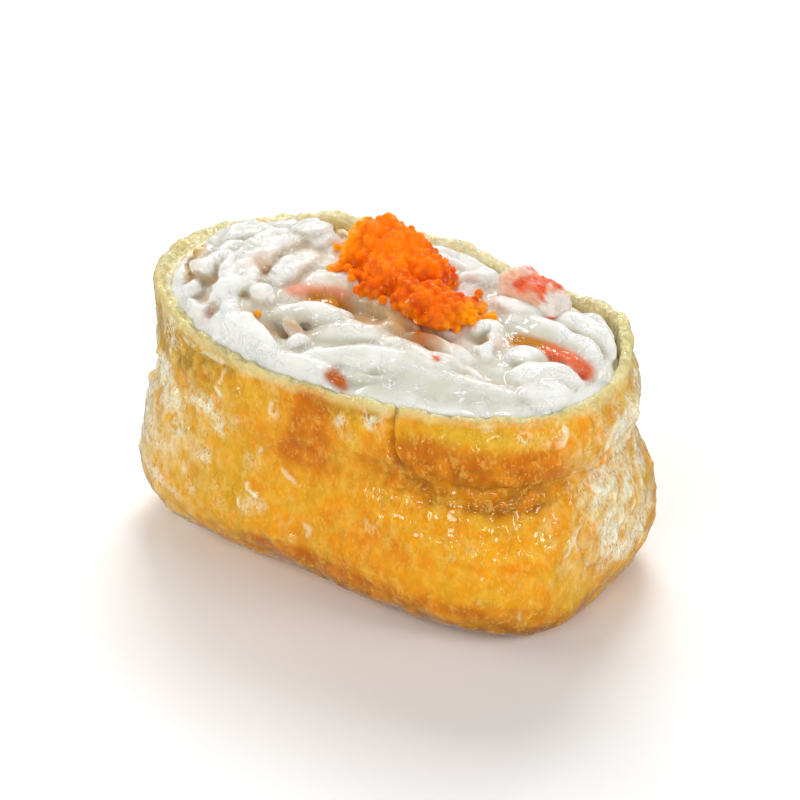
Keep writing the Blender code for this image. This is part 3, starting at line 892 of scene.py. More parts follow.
def start_material(name, squeeze=(1, 1, 1)):
    """A material, its tree and shader, the object's own coordinates, and the stored tint."""
    material = bpy.data.materials.new(name)
    material.use_nodes = True
    tree = material.node_tree
    shader = tree.nodes["Principled BSDF"]
    where = add(tree, "ShaderNodeTexCoord")
    squeezed = add(tree, "ShaderNodeMapping")
    squeezed.inputs["Scale"].default_value = squeeze
    tree.links.new(where.outputs["Object"], squeezed.inputs["Vector"])
    tint = add(tree, "ShaderNodeAttribute", attribute_name="tint")
    return material, tree, shader, squeezed.outputs["Vector"], tint.outputs["Color"]


def uneven(tree, colour, tone_socket):
    """The colour multiplied by the mottling's tone."""
    grey = add(tree, "ShaderNodeCombineColor")
    for socket in grey.inputs[:3]:
        tree.links.new(tone_socket, socket)
    return blend_colours(tree, 1.0, colour, grey.outputs[0], "MULTIPLY")


def set_shader(shader, **values):
    """Sets the shader's own sockets."""
    for name, value in values.items():
        shader.inputs[name.replace("_", " ").title().replace("Ior", "IOR")].default_value = value


def finish_material(tree, shader, colour, height, depth, strength=1.0, **values):
    """Feeds the shader its colour, a relief of a given depth in metres, and its values."""
    tree.links.new(colour, shader.inputs["Base Color"])
    bump = add(tree, "ShaderNodeBump", strength=strength, distance=depth)
    tree.links.new(height, bump.inputs["Height"])
    tree.links.new(bump.outputs["Normal"], shader.inputs["Normal"])
    set_shader(shader, **values)


print("shared groups:", sorted(group.name for group in bpy.data.node_groups))

# %% [markdown]
# The skin's material lays three kinds of pale marks over the mottled gold: soft dabs, a net
# of threads at two sizes, and lines along the placed veins. How pale they are follows the
# fourth number of the stored colour.

# %% Material of the skin


def make_tofu_skin():
    """Fried tofu skin: mottled gold with soft pale dabs, under a coarse and a finer net of
    pale threads, which are closer where the stored fourth number is high. Cream lines mark
    the placed veins, and a wet film sparkles on the threads."""
    material, tree, shader, place, tint = start_material("tofu_skin", (1, 1, 0.7))
    pale = tint.node.outputs["Alpha"]
    mottle = place_group(tree, mottling, place, scale=380, contrast=0.34)
    net = place_group(tree, thread_net, place, scale=430, swirl=3.0, width=0.20)
    finer = place_group(tree, thread_net, place, scale=900, swirl=2.2, width=0.24)
    soft = place_group(tree, mottling, place, scale=640, contrast=1.0)
    tree.links.new(pale, net.inputs["Cover"])
    tree.links.new(remap(tree, pale, 0, 1, 0.15, 0.85), finer.inputs["Cover"])
    colour = uneven(tree, tint, mottle.outputs["Tone"])
    strong = remap(tree, pale, 0.3, 0.9, 0.0, 1.0)
    threads = math_node(tree, "MULTIPLY", net.outputs["Crest"], strong)
    faint = remap(tree, pale, 0.0, 0.9, 0.08, 0.85)
    flecks = math_node(tree, "MULTIPLY", finer.outputs["Crest"], faint)
    dabs = remap(tree, soft.outputs["Tone"], 1.03, 1.22, 0.0, 0.75)
    creamy = remap(tree, pale, 0.2, 0.9, 0.1, 1.0)
    crest_colour = blend_colours(tree, creamy, (*PALE_GOLD, 1), (*CREAM, 1))
    colour = blend_colours(tree, dabs, colour, blend_colours(tree, 0.5, tint, crest_colour))
    colour = blend_colours(tree, math_node(tree, "MAXIMUM", threads, flecks), colour, crest_colour)
    stored_web = add(tree, "ShaderNodeAttribute", attribute_name="web")
    web = remap(tree, stored_web.outputs["Fac"], 0.25, 0.55, 0.0, 0.9)
    web = math_node(tree, "MULTIPLY", web, remap(tree, pale, 0.2, 0.7, 0.3, 1.0))
    colour = blend_colours(tree, web, colour, (*CREAM, 1))
    fine_height = math_node(tree, "MULTIPLY", finer.outputs["Height"], 0.45)
    height = math_node(tree, "ADD", net.outputs["Height"], fine_height)
    finish_material(
        tree, shader, colour, height, 0.22 * MM,
        roughness=0.5, subsurface_weight=0.25, subsurface_scale=1.0 * MM,
        subsurface_radius=(1.0, 0.5, 0.15), coat_weight=1.0, coat_roughness=0.08,
        ior=1.36, specular_ior_level=0.12,
    )
    return material


tofu_skin = make_tofu_skin()
print("material", tofu_skin.name)

# %% The skin piece
skin = new_piece(
    "skin",
    stacked(skin_rows, (0, 0, 0), (0, 0, SKIN)),
    ring_faces(*skin_rows.shape[:2]),
    tofu_skin,
    np.concatenate([skin_colour_rows.reshape(-1, 4), [(*OCHRE_SHADE, 0.2), (*GOLD, 0.2)]]),
)
outer_web = veins(outer)[1]
web = np.zeros(skin_rows.shape[:2])
web[len(base_rings) : len(base_rings) + len(outer)] = outer_web
web_attribute = skin.data.attributes.new("web", "FLOAT", "POINT")
web_values = np.concatenate([web.ravel(), [0, 0]]).astype(np.float32)
web_attribute.data.foreach_set("value", web_values)
print("web covers", round(100 * float((outer_web > 0.5).mean()), 1), "% of the outside")
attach(skin, "root")
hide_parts("tofu_pouch")

# %% [markdown]
# The filling is crab stick torn into shreds and dressed with mayonnaise. Out of sight it is
# a plain core that fills the pouch. On top lie the real shreds: thick strips that were
# placed one by one, and many finer ones scattered over them. Mayonnaise bridges shreds that
# touch, so they are fused into one skin by remeshing and then softened.

# %% The heap under the shreds
SALAD_DOME = 3.6 * MM
SALAD_LEFT_RISE = 2.2 * MM
SALAD_GAP = 0.3 * MM  # between the filling and the skin, below the rim
CORE_DEPTH = 2.2 * MM  # of the core's top under the heap


def heap_height(x, y):
    """Height of the heap: a dome over the mouth, lower towards the back wall and higher by
    a bell towards the left end."""
    across = (x / (LENGTH / 2)) ** 2 + (y / (WIDTH / 2)) ** 2
    lean = 1.4 * MM * ease((y + 10 * MM) / (30 * MM))
    left = SALAD_LEFT_RISE * bell(np.hypot(x + 21 * MM, y - 5 * MM), 11 * MM)
    return RIM_HEIGHT - 0.6 * MM + SALAD_DOME * (1 - across) - lean + left


def filling_edge_share(angle):
    """Height share at which the filling meets the skin: high in front and at the right end,
    lower behind and at the left end."""
    behind = ease(0.5 + 0.9 * np.sin(angle))
    left, right = bell(turn_to(angle, 184), 15), bell(turn_to(angle, 4), 26)
    return np.minimum(0.995 - 0.080 * behind - 0.10 * left + 0.04 * right, 0.995)


def core_rows():
    """The core: the inner wall's outline from the floor up, then the heap, kept lower than
    the shreds that cover it."""
    angle = np.linspace(-math.pi, math.pi, 72, endpoint=False)
    edge = filling_edge_share(angle) - 0.04
    shares = np.linspace(0.03, 1, 14)[:, None] * edge
    around = np.broadcast_to(angle, shares.shape)
    side = wall(around, shares) - (SKIN + SALAD_GAP) * wall_normals(around, shares)
    reach = np.linspace(1, 0, 16)[1:-1, None]
    x, y = reach * side[-1, :, 0], reach * side[-1, :, 1]
    shoulder = ease((1 - reach) / 0.2)
    z = side[-1, :, 2] * (1 - shoulder) + (heap_height(x, y) - CORE_DEPTH) * shoulder
    return np.concatenate([side, np.stack([x, y, z], -1)])


print("heap's middle is", round(float(heap_height(0.0, 0.0)) / MM, 1), "mm high")

# %% [markdown]
# A shred is a ribbon of crab: a profile carried along a path. The path is a smooth curve
# through a few points in plan and follows the heap; the profile is an ellipse that is
# widest in the middle and closes at both ends. All the scattered shreds are swept at once,
# as one array with an axis for the shred, one for its length and one for its girth.

# %% Sweeping shreds
STRIPS = (  # path in mm, width, thickness, roll in degrees
    (((5, -18.6, 36.8), (11.5, -15.8, 36.9), (18, -14.8, 36.8), (26, -12.4, 36.5),
      (32.5, -9.4, 36.1)), 6.8, 2.8, -18),
    (((-3.6, -20.0, 37.5), (1, -17.4, 37.9), (6.2, -14.8, 38.0), (12, -13.2, 37.9),
      (18, -13.0, 37.5)), 4.2, 2.3, -15),
    (((4.5, -12.6, 38.4), (7, -10.7, 38.7), (10, -11, 38.5), (15, -11.4, 38.1),
      (19, -11.2, 37.6)), 3.0, 1.8, -10),
    (((-7, -20.6, 37.1), (-2.5, -20.4, 37.3), (1.5, -19.8, 37.2), (4, -19.4, 36.8)), 3.8, 2.2, 0),
    (((-18.5, -15.4, 38.3), (-14.5, -17.6, 38.3), (-10.5, -19.2, 38.0),
      (-6, -19.8, 37.6)), 4.4, 2.8, -10),
    (((-5.8, -17.6, 37.8), (-5, -16.4, 38.2), (-4.2, -15.2, 38.2)), 1.9, 1.8, 0),
    (((-13.5, -6.2, 39.8), (-9.5, -4.2, 40.2), (-5, -1.8, 40.3), (-1, -0.4, 40)), 4.6, 3.2, -8),
    (((-13, -12, 38.9), (-8.5, -11.3, 39.2), (-4.7, -9.8, 39.2), (-1, -8.2, 38.8)), 3.6, 2.6, -12),
    (((-6, -14.4, 37.9), (-2.2, -12.3, 38.3), (3.4, -9.9, 38.5), (8, -9.2, 38)), 3.8, 2.0, -8),
    (((-5, -2.6, 39.5), (-0.5, -3.4, 39.5), (3.7, -5.0, 39.2), (6, -6.2, 38.8)), 3.2, 2.2, 0),
    (((2.4, -7.6, 38.7), (4.2, -7.3, 39.0), (6, -7, 38.9)), 2.4, 2.2, 0),
    (((-18.9, 4.4, 42.2), (-20.4, -0.2, 42.4), (-20.9, -4.6, 42), (-21.2, -8.4, 41.1),
      (-21.3, -12, 40.1)), 4.8, 3.6, 0),
    (((-20.2, -5.6, 41), (-19.5, -9.2, 40.7), (-19.8, -12.6, 40.0),
      (-20.4, -15.4, 39.0)), 4.0, 3.2, 0),
    (((-29.6, -1.4, 39.8), (-27.8, 0.6, 40.6), (-25.0, 1.6, 41.2),
      (-22.6, 1.0, 41.4)), 5.0, 3.4, 0),
    (((-21.4, 5.6, 41.8), (-18.2, 5.5, 42), (-14.2, 3.8, 41.4)), 4.6, 3.4, 0),
    (((-28.2, -7.8, 39.4), (-26.6, -8.7, 39.9), (-24.6, -8.9, 40)), 3.8, 3.2, 0),
    (((-27.2, -12.6, 37.8), (-26, -12.8, 38.1), (-24.4, -12.2, 38.2)), 2.8, 2.4, 0),
    (((-15, 2.0, 41.4), (-15.4, -2.4, 41.2), (-15.6, -6.0, 40.6),
      (-15.9, -9.6, 39.7)), 4.0, 3.0, 0),
    (((-17.6, -11.6, 39.7), (-15.6, -10.9, 40), (-13, -10.7, 39.6)), 2.6, 2.2, 0),
    (((-18.8, -12.8, 39.2), (-17.6, -15.2, 38.8), (-15.2, -16.8, 38.5)), 3.0, 2.4, 0),
    (((-29.4, -3.6, 39.6), (-28.6, -6.4, 39.2), (-26.6, -10.2, 38.5)), 3.2, 2.6, 0),
    (((-25.6, -2.4, 41.3), (-24.7, -6, 40.8), (-24, -9, 40.1)), 4.2, 3.4, 0),
    (((-27.4, 4.0, 39.4), (-24.6, 6.2, 39.8), (-21.0, 7.4, 40.2)), 4.0, 2.8, 0),
    (((-25.6, -14.9, 37.4), (-23.4, -16.2, 37.4), (-20.6, -17.2, 37.2)), 2.4, 1.8, 0),
    (((13.6, 4.6, 38.9), (19.2, 3.9, 38.9), (24.4, 3.0, 38.7), (29.2, 2.4, 38.4),
      (33.4, 1.0, 37.7)), 5.2, 3.0, -22),
    (((20.6, 8.4, 39.0), (24.5, 8.6, 38.9), (28, 7.8, 38.4), (32, 6.0, 37.6)), 4.4, 2.6, -8),
    (((20.8, -3.6, 38.2), (23.4, -2.6, 38.5), (26.4, -2.4, 38.2)), 3.8, 2.8, 0),
    (((19.4, -6.2, 37.9), (17.8, -3.4, 38.3), (18.2, -0.4, 38.5)), 1.9, 1.8, 0),
    (((23.6, -8, 37.9), (26.6, -5.9, 38.3), (29.4, -4, 38.1), (33, -3.4, 37.4)), 4.8, 3.0, -12),
    (((26.6, -9.8, 37.5), (30.6, -7.8, 37.5), (33.4, -6, 36.9)), 4.4, 2.4, -10),
    (((4.4, 8.6, 39.8), (7.5, 10.6, 40.1), (10.8, 9.8, 39.9)), 3.4, 3.0, 0),
    (((11.6, 6.8, 39.4), (15, 6.6, 39.5), (18.2, 6.9, 39.4), (21.6, 7.6, 39.1)), 2.8, 2.4, -10),
    (((22.4, 12.4, 37.6), (26.5, 11, 37.3), (29.8, 8.8, 36.8)), 3.2, 2.4, 0),
    (((8.6, 14.4, 37.2), (13.5, 14.9, 37.3), (18.6, 13.8, 37.2)), 3.4, 2.4, 0),
    (((-7, 13.6, 38.1), (0, 14.6, 38.0), (7, 13.9, 37.7)), 3.8, 2.6, 0),
    (((-15, 10.4, 39.2), (-11, 11.6, 39.2), (-6, 11.4, 39.4)), 4.0, 2.8, 0),
    (((13.6, -0.9, 38.6), (15.2, 1.1, 38.9), (17.4, 0.2, 38.6)), 2.0, 1.8, 0),
    (((11, -5.6, 38.0), (14.5, -6.6, 38.2), (18, -8.6, 38.0)), 3.2, 1.8, 8),
)
ALONG, GIRTH = 26, 14
BROADER, FLATTER = 1.12, 0.85  # the strips against their listed width and thickness


def smooth_path(points, count):
    """A smooth curve through the points, evenly stepped: each coordinate is a cubic that
    takes its slopes from the neighbours (Catmull-Rom)."""
    points = np.array(points, float)
    ends = np.concatenate([[2 * points[0] - points[1]], points, [2 * points[-1] - points[-2]]])
    place = np.linspace(0, len(points) - 1, count)
    k = np.minimum(place.astype(int), len(points) - 2)
    t = (place - k)[:, None]
    a, b, c, d = ends[k], ends[k + 1], ends[k + 2], ends[k + 3]
    return 0.5 * (2 * b + (c - a) * t + (2 * a - 5 * b + 4 * c - d) * t**2
                  + (3 * b - 3 * c + d - a) * t**3)


def kept_inside(points):
    """Draws points that would stick through the skin back inside its cut edge, along the
    line to the middle."""
    angle = np.linspace(-math.pi, math.pi, 721)
    share = np.full_like(angle, 0.96)
    depth = skin_depth(angle, share) + 0.3 * MM
    edge = wall(angle, share) - depth[:, None] * wall_normals(angle, share)
    direction = np.arctan2(edge[:, 1], edge[:, 0])
    order = np.argsort(direction)
    reach = np.interp(
        np.arctan2(points[..., 1], points[..., 0]), direction[order],
        np.hypot(edge[:, 0], edge[:, 1])[order], period=2 * math.pi,
    )
    inside = np.minimum(1, reach / np.hypot(points[..., 0], points[..., 1]))
    return points * np.stack([inside, inside, np.ones_like(inside)], -1)


def sweep(paths, widths, thicknesses, rolls):
    """Tubes along paths (shred, step, xyz). Around the path runs a squarish ellipse of the
    given width and thickness, rolled about the path. It closes at both ends, its size is
    uneven by noise, and every point is led a little astray, most at the crumbly left end."""
    forward = np.gradient(paths, axis=1)
    forward /= np.linalg.norm(forward, axis=-1, keepdims=True)
    aside = np.cross(forward, (0, 0, 1.0))
    aside /= np.linalg.norm(aside, axis=-1, keepdims=True)
    up = np.cross(aside, forward)
    turn = np.linspace(0, 2 * math.pi, GIRTH, endpoint=False)
    step = np.linspace(0.02, 0.98, paths.shape[1])[None, :, None]
    size = (4 * step * (1 - step)) ** 0.35 * (1 + 0.24 * noise(paths, 3.4 * MM, 83)[..., None])
    across, upright = (np.sign(c) * abs(c) ** 0.62 for c in (np.cos(turn), np.sin(turn)))
    wide = np.asarray(widths)[:, None, None] / 2 * size * across
    high = np.asarray(thicknesses)[:, None, None] / 2 * size * upright
    roll = np.radians(np.asarray(rolls))[:, None, None]
    sideways = wide * np.cos(roll) - high * np.sin(roll)
    upwards = wide * np.sin(roll) + high * np.cos(roll)
    tubes = (paths[:, :, None] + sideways[..., None] * aside[:, :, None]
             + upwards[..., None] * up[:, :, None])
    sway = np.stack([noise(tubes, 2.6 * MM, seed) for seed in (84, 85, 86)], -1)
    crumbly = 0.25 + 0.85 * ease((-tubes[..., :1] - 10 * MM) / (8 * MM))
    return kept_inside(tubes + crumbly * sway * (0.6 * MM, 0.6 * MM, 0.35 * MM))


def tube_mesh(tubes):
    """Points and faces of closed tubes: rings along each, and a point at each end."""
    shreds, along, girth = tubes.shape[:3]
    one = ring_faces(along, girth)
    ends = tubes[:, [0, -1]].mean(2)
    points = np.concatenate([tubes.reshape(shreds, -1, 3), ends], 1)
    step = points.shape[1]
    faces = [tuple(v + s * step for v in face) for s in range(shreds) for face in one]
    return points.reshape(-1, 3), faces


def strip_paths():
    """Middle lines of the placed strips. They sway a little, and both ends dive into the
    bed: they sink with the fourth power of the distance from the middle."""
    paths = np.stack([smooth_path(path, ALONG) for path, *_ in STRIPS]) * MM
    step = np.linspace(-1, 1, ALONG)[None]
    thick = np.array([strip[2] for strip in STRIPS])[:, None] * MM
    paths[..., 2] += 0.45 * MM * noise(paths, 4 * MM, 81) - 0.45 * thick * step**4
    paths[..., 2] -= 0.5 * np.maximum(thick - 2.4 * MM, 0)
    paths[..., 1] += 0.35 * MM * noise(paths, 4 * MM, 82)
    return paths


middle_lines = strip_paths()
strip_sizes = [[strip[k] for strip in STRIPS] for k in (1, 2, 3)]
strip_widths, strip_depths, strip_rolls = np.array(strip_sizes)
strip_tubes = sweep(
    middle_lines, BROADER * strip_widths * MM, FLATTER * strip_depths * MM, strip_rolls
)
print(len(STRIPS), "placed strips of", ALONG, "rings")

# %% [markdown]
# The finer shreds fill in between the placed strips. They are scattered by a seeded random
# draw, so they lie the same way each time.

# %% Finer shreds, scattered with the grain of the heap
FINE_SHREDS = 60


def scattered_shreds():
    """Short fine shreds. Most lie along the pouch; at the left end they stand across it and
    are lumpier. Each bends a little and lies partly sunk."""
    random = np.random.default_rng(7)
    place = random.uniform(-1, 1, (FINE_SHREDS * 3, 2))
    place = place[(place**2).sum(-1) < 1][:FINE_SHREDS] * (33 * MM, 18.8 * MM)
    left = ease((-place[:, 0] - 12 * MM) / (8 * MM))
    heading = np.radians(random.normal(-9, 15, FINE_SHREDS) * (1 - left)
                         + random.normal(52, 32, FINE_SHREDS) * left)
    length = random.uniform(5, 12, FINE_SHREDS) * (1 - 0.5 * left) * MM
    width = random.uniform(1.4, 3.2, FINE_SHREDS) * (1 + 0.25 * left) * MM
    bend = random.normal(0, 0.12, FINE_SHREDS)
    step = np.linspace(-0.5, 0.5, 12)
    run = step * length[:, None]
    bow = bend[:, None] * length[:, None] * (1 - 4 * step**2)
    x = place[:, :1] + run * np.cos(heading)[:, None] - bow * np.sin(heading)[:, None]
    y = place[:, 1:] + run * np.sin(heading)[:, None] + bow * np.cos(heading)[:, None]
    inside = np.minimum(1, 0.90 / np.sqrt((x / (35 * MM)) ** 2 + (y / (21 * MM)) ** 2))
    x, y = x * inside, y * inside
    lift = random.uniform(-0.9, 0.2, FINE_SHREDS) + 0.3 * left
    tip = random.normal(0, 0.10, FINE_SHREDS)[:, None] * run
    z = heap_height(x, y) + lift[:, None] * MM + tip - 0.5 * MM
    path = np.stack([x, y, z], -1)
    return sweep(path, width, width * random.uniform(0.5, 0.8, FINE_SHREDS),
                 random.uniform(-40, 40, FINE_SHREDS))


fine_tubes = scattered_shreds()
print(len(fine_tubes), "fine shreds")

# %% [markdown]
# The bed between the shreds is mayonnaise and crumbs, a slab whose top is the heap with
# small lumps. Slab and shreds become one closed skin when a Remesh modifier rebuilds them
# from small cubes, and a Smooth modifier rounds the joints the way the dressing does.

# %% Fusing bed and shreds
MAYO = tone(244, 244, 238)
# clear grey: thinner dressing, and painted shade on the slopes beside the crests
CLEAR_AND_SHADED = tone(211, 209, 192)
# painted shade, warm, for the hollows and under the roe
WARM_SHADE = tone(196, 162, 116)
CORAL = tone(230, 112, 66)
SALMON = tone(236, 158, 128)
PINK = tone(238, 190, 160)
# amber: flakes of crab skin, and painted shadow under the roe
AMBER_AND_SHADE = tone(198, 128, 24)
# deep brown-orange: a flake, and painted shade in pits and under the roe
DEEP_AND_SHADE = tone(194, 96, 6)
# painted shade in the gap by the left rim and in the hollows behind the left heap
POCKET_SHADE = tone(206, 158, 66)
# painted highlight on the crests of the dressing's wet wrinkles
PAINTED_HIGHLIGHT_WHITE = tone(255, 255, 255)

VOXEL = 0.32 * MM
BED_DEPTH = 1.05 * MM  # of the bed's top under the strips' backs
HOLLOWS = (  # middle x and y in mm, heading, half length, half width, depth in mm
    (-8.4, -13.8, 10, 4.6, 2.0, 1.7), (-19.0, -7.0, 60, 2.2, 1.2, 0.9),
    (-20.4, -16.4, 0, 1.2, 1.0, 0.9), (-30.0, -6.0, -62, 4.4, 1.5, 3.0),
    (-26.8, 11.6, 42, 5.0, 1.6, 2.4), (-19.0, 12.2, 10, 4.6, 1.6, 2.2),
    (-27.6, 9.0, 45, 3.4, 1.4, 2.4), (9.6, -6.0, -50, 3.2, 2.0, 1.4),
    (-5.6, -6.2, 12, 4.0, 1.1, 1.2), (27.4, 0.2, -6, 6.6, 1.2, 1.5),
    (16.4, -1.6, 10, 2.6, 1.0, 0.9), (12.0, 17.0, 0, 9.0, 2.0, 1.6),
    (26.0, 14.0, -30, 5.0, 1.6, 1.4), (6.0, -20.4, 20, 1.6, 1.0, 0.8),
)


def turned(x, y, middle_x, middle_y, heading):
    """How far a place lies from a middle given in mm, along a heading and aside from it."""
    turn = math.radians(heading)
    dx, dy = x - middle_x * MM, y - middle_y * MM
    along = dx * math.cos(turn) + dy * math.sin(turn)
    return along, dy * math.cos(turn) - dx * math.sin(turn)


def plan_bell(x, y, middle_x, middle_y, heading, length, width, strength):
    """An elliptic bell in plan, turned to its heading."""
    along, aside = turned(x, y, middle_x, middle_y, heading)
    return strength * np.exp(-((along / (length * MM)) ** 2) - (aside / (width * MM)) ** 2)


def hollow_depth(x, y):
    """How far the bed is pressed down: the sum of elliptic bells."""
    return sum(plan_bell(x, y, *hollow) for hollow in HOLLOWS) * MM


def strip_surface(x, y):
    """Height of the placed strips' backs, smoothed over the gaps between them: the mean of
    the backs near a place and the heap, weighted by bells of the distance."""
    backs = (middle_lines[..., 2] + strip_depths[:, None] / 2 * MM).ravel()
    places = middle_lines[..., :2].reshape(-1, 2)
    total, weight = 0.15 * heap_height(x, y), 0.15 + 0 * x
    for (px, py), back in zip(places, backs):
        near = np.exp(-((x - px) ** 2 + (y - py) ** 2) / (2.4 * MM) ** 2)
        total, weight = total + near * back, weight + near
    return total / weight


def bed_rows():
    """A slab under the shreds: its rim at the skin, its top a little below the strips'
    backs and lumpy from noise, with the hollows pressed in. In front and at the right end
    the dressing spills up to the top of the skin's rim."""
    angle = np.linspace(-math.pi, math.pi, 200, endpoint=False)
    share = filling_edge_share(angle)[None]
    around = angle[None]
    spill = np.maximum(1 - ease(0.4 + 0.9 * np.sin(around)), bell(turn_to(around, 0), 30))
    inwards = skin_depth(around, share) * (1 - 0.30 * spill)
    rim_ring = wall(around, share) - inwards[..., None] * wall_normals(around, share)
    low_share = share - 0.14
    low_ring = wall(around, low_share) - (SKIN + 0.9 * MM) * wall_normals(around, low_share)
    reach = np.linspace(1, 0, 70)[1:-1, None]
    x, y = reach * rim_ring[..., 0], reach * rim_ring[..., 1]
    place = np.stack([x, y, 0 * x], -1)
    lumps = 0.35 * noise(place, 4.4 * MM, 91) + 0.15 * noise(place, 1.9 * MM, 92)
    shoulder = ease((1 - reach) / 0.06)
    top = strip_surface(x, y) - BED_DEPTH + lumps * MM - hollow_depth(x, y)
    rim_ring[..., 2] += (0.9 * MM + rim_tears(angle)) * spill
    away = (1 - reach) * np.hypot(rim_ring[..., 0], rim_ring[..., 1])
    top = np.maximum(top, rim_ring[..., 2] - 0.25 * away - 6 * MM * (1 - spill))
    z = rim_ring[..., 2] * (1 - shoulder) + top * shoulder
    under = low_ring * (0.6, 0.6, 1)
    return np.concatenate([under, low_ring, rim_ring, np.stack([x, y, z], -1)])


def fused(name, points, faces, voxel, smoothing):
    """One closed, softened mesh out of overlapping closed ones."""
    mesh = bpy.data.meshes.new(name)
    mesh.from_pydata(points.tolist(), [], faces)
    piece = linked(name, mesh)
    remesh = piece.modifiers.new("fuse", "REMESH")
    remesh.mode = "VOXEL"
    remesh.voxel_size = voxel
    soften = piece.modifiers.new("soften", "SMOOTH")
    soften.factor = 0.5
    soften.iterations = smoothing
    seen = piece.evaluated_get(bpy.context.evaluated_depsgraph_get())
    made = bpy.data.meshes.new_from_object(seen)
    bpy.data.objects.remove(piece)
    return made


def joined(*parts):
    """Several sets of points and faces as one."""
    points, faces, start = [], [], 0
    for some_points, some_faces in parts:
        points.append(some_points)
        faces.extend(tuple(v + start for v in face) for face in some_faces)
        start += len(some_points)
    return np.concatenate(points), faces


FLAKES = (  # path in mm, width, thickness, colour, how far the colour spreads in mm
    (((-12.2, -7.2, 39.6), (-9.3, -6.7, 39.8), (-6.0, -5.3, 39.7)), 1.1, 0.8, SALMON, 1.1),
    (((-8.4, -7.6, 39.0), (-5.0, -6.6, 39.0)), 2.0, 1.2, AMBER_AND_SHADE, 1.2),
    (((20.0, 0.7, 38.1), (23.5, 0.9, 38.2), (27.1, 0.2, 38.2)), 1.8, 1.2, AMBER_AND_SHADE, 0.8),
    (((25.6, 0.4, 38.2), (28.6, 0.4, 38.1), (31.4, -0.2, 37.6)), 2.0, 1.3, CORAL, 0.8),
    (((3.0, -19.5, 36.9), (4.2, -20.0, 36.8), (5.4, -20.4, 36.6)), 1.4, 0.9, DEEP_AND_SHADE, 0.6),
    (((14.0, -10.6, 38.9), (14.5, -10.9, 38.9)), 0.7, 0.5, CORAL, 0.3),
)


def flake_tubes():
    """Flakes of the crab's red skin as short tubes."""
    paths = np.stack([smooth_path(path, 12) for path, *_ in FLAKES]) * MM
    width, thick = (np.array([flake[k] for flake in FLAKES]) for k in (1, 2))
    return sweep(paths, width * MM, thick * MM, 0 * width)


bed = bed_rows()
bed_mesh = (
    stacked(bed, bed[0].mean(0), bed[-1].mean(0)),
    ring_faces(*bed.shape[:2]),
)
salad_mesh = fused(
    "salad",
    *joined(bed_mesh, tube_mesh(strip_tubes), tube_mesh(fine_tubes), tube_mesh(flake_tubes())),
    VOXEL, 4,
)
print("salad:", len(salad_mesh.vertices), "points,", len(salad_mesh.polygons), "faces")

# %% [markdown]
# A remeshed surface has lost its rows and columns, so what follows reads its points. A map
# in plan of the highest points tells how deep each one lies. The hollows between shreds get
# a warm, dim colour, painted shade for light that gets there only through the crab, and the
# crests a white one, painted light. The same map later carries the stray eggs.

# %% A map of the salad's surface
CELL = 0.4 * MM
MAP_SIZE = 220


def mesh_points(mesh):
    """All points of a mesh as an array."""
    points = np.empty(len(mesh.vertices) * 3, np.float32)
    mesh.vertices.foreach_get("co", points)
    return points.reshape(-1, 3).astype(float)


def cell_of(x, y):
    """Row and column of the map's cell at a place."""
    column = np.clip((np.asarray(x) / CELL + MAP_SIZE / 2).astype(int), 0, MAP_SIZE - 1)
    row = np.clip((np.asarray(y) / CELL + MAP_SIZE / 2).astype(int), 0, MAP_SIZE - 1)
    return row, column


def top_map(points):
    """The highest point in each cell, with empty cells at a low height."""
    highest = np.full((MAP_SIZE, MAP_SIZE), 20 * MM)
    np.maximum.at(highest, cell_of(points[:, 0], points[:, 1]), points[:, 2])
    return highest


def blurred(values, cells):
    """The map averaged over a square of cells, one direction after the other."""
    for axis in (0, 1):
        values = sum(np.roll(values, k, axis) for k in range(-cells, cells + 1)) / (2 * cells + 1)
    return values


salad_points = mesh_points(salad_mesh)
salad_top = top_map(salad_points)
salad_smooth = blurred(salad_top, 4)


def salad_height(x, y):
    """Height of the finished salad at a place, from the map."""
    return salad_top[cell_of(x, y)]


print("salad is up to", round(salad_points[:, 2].max() / MM, 1), "mm high")

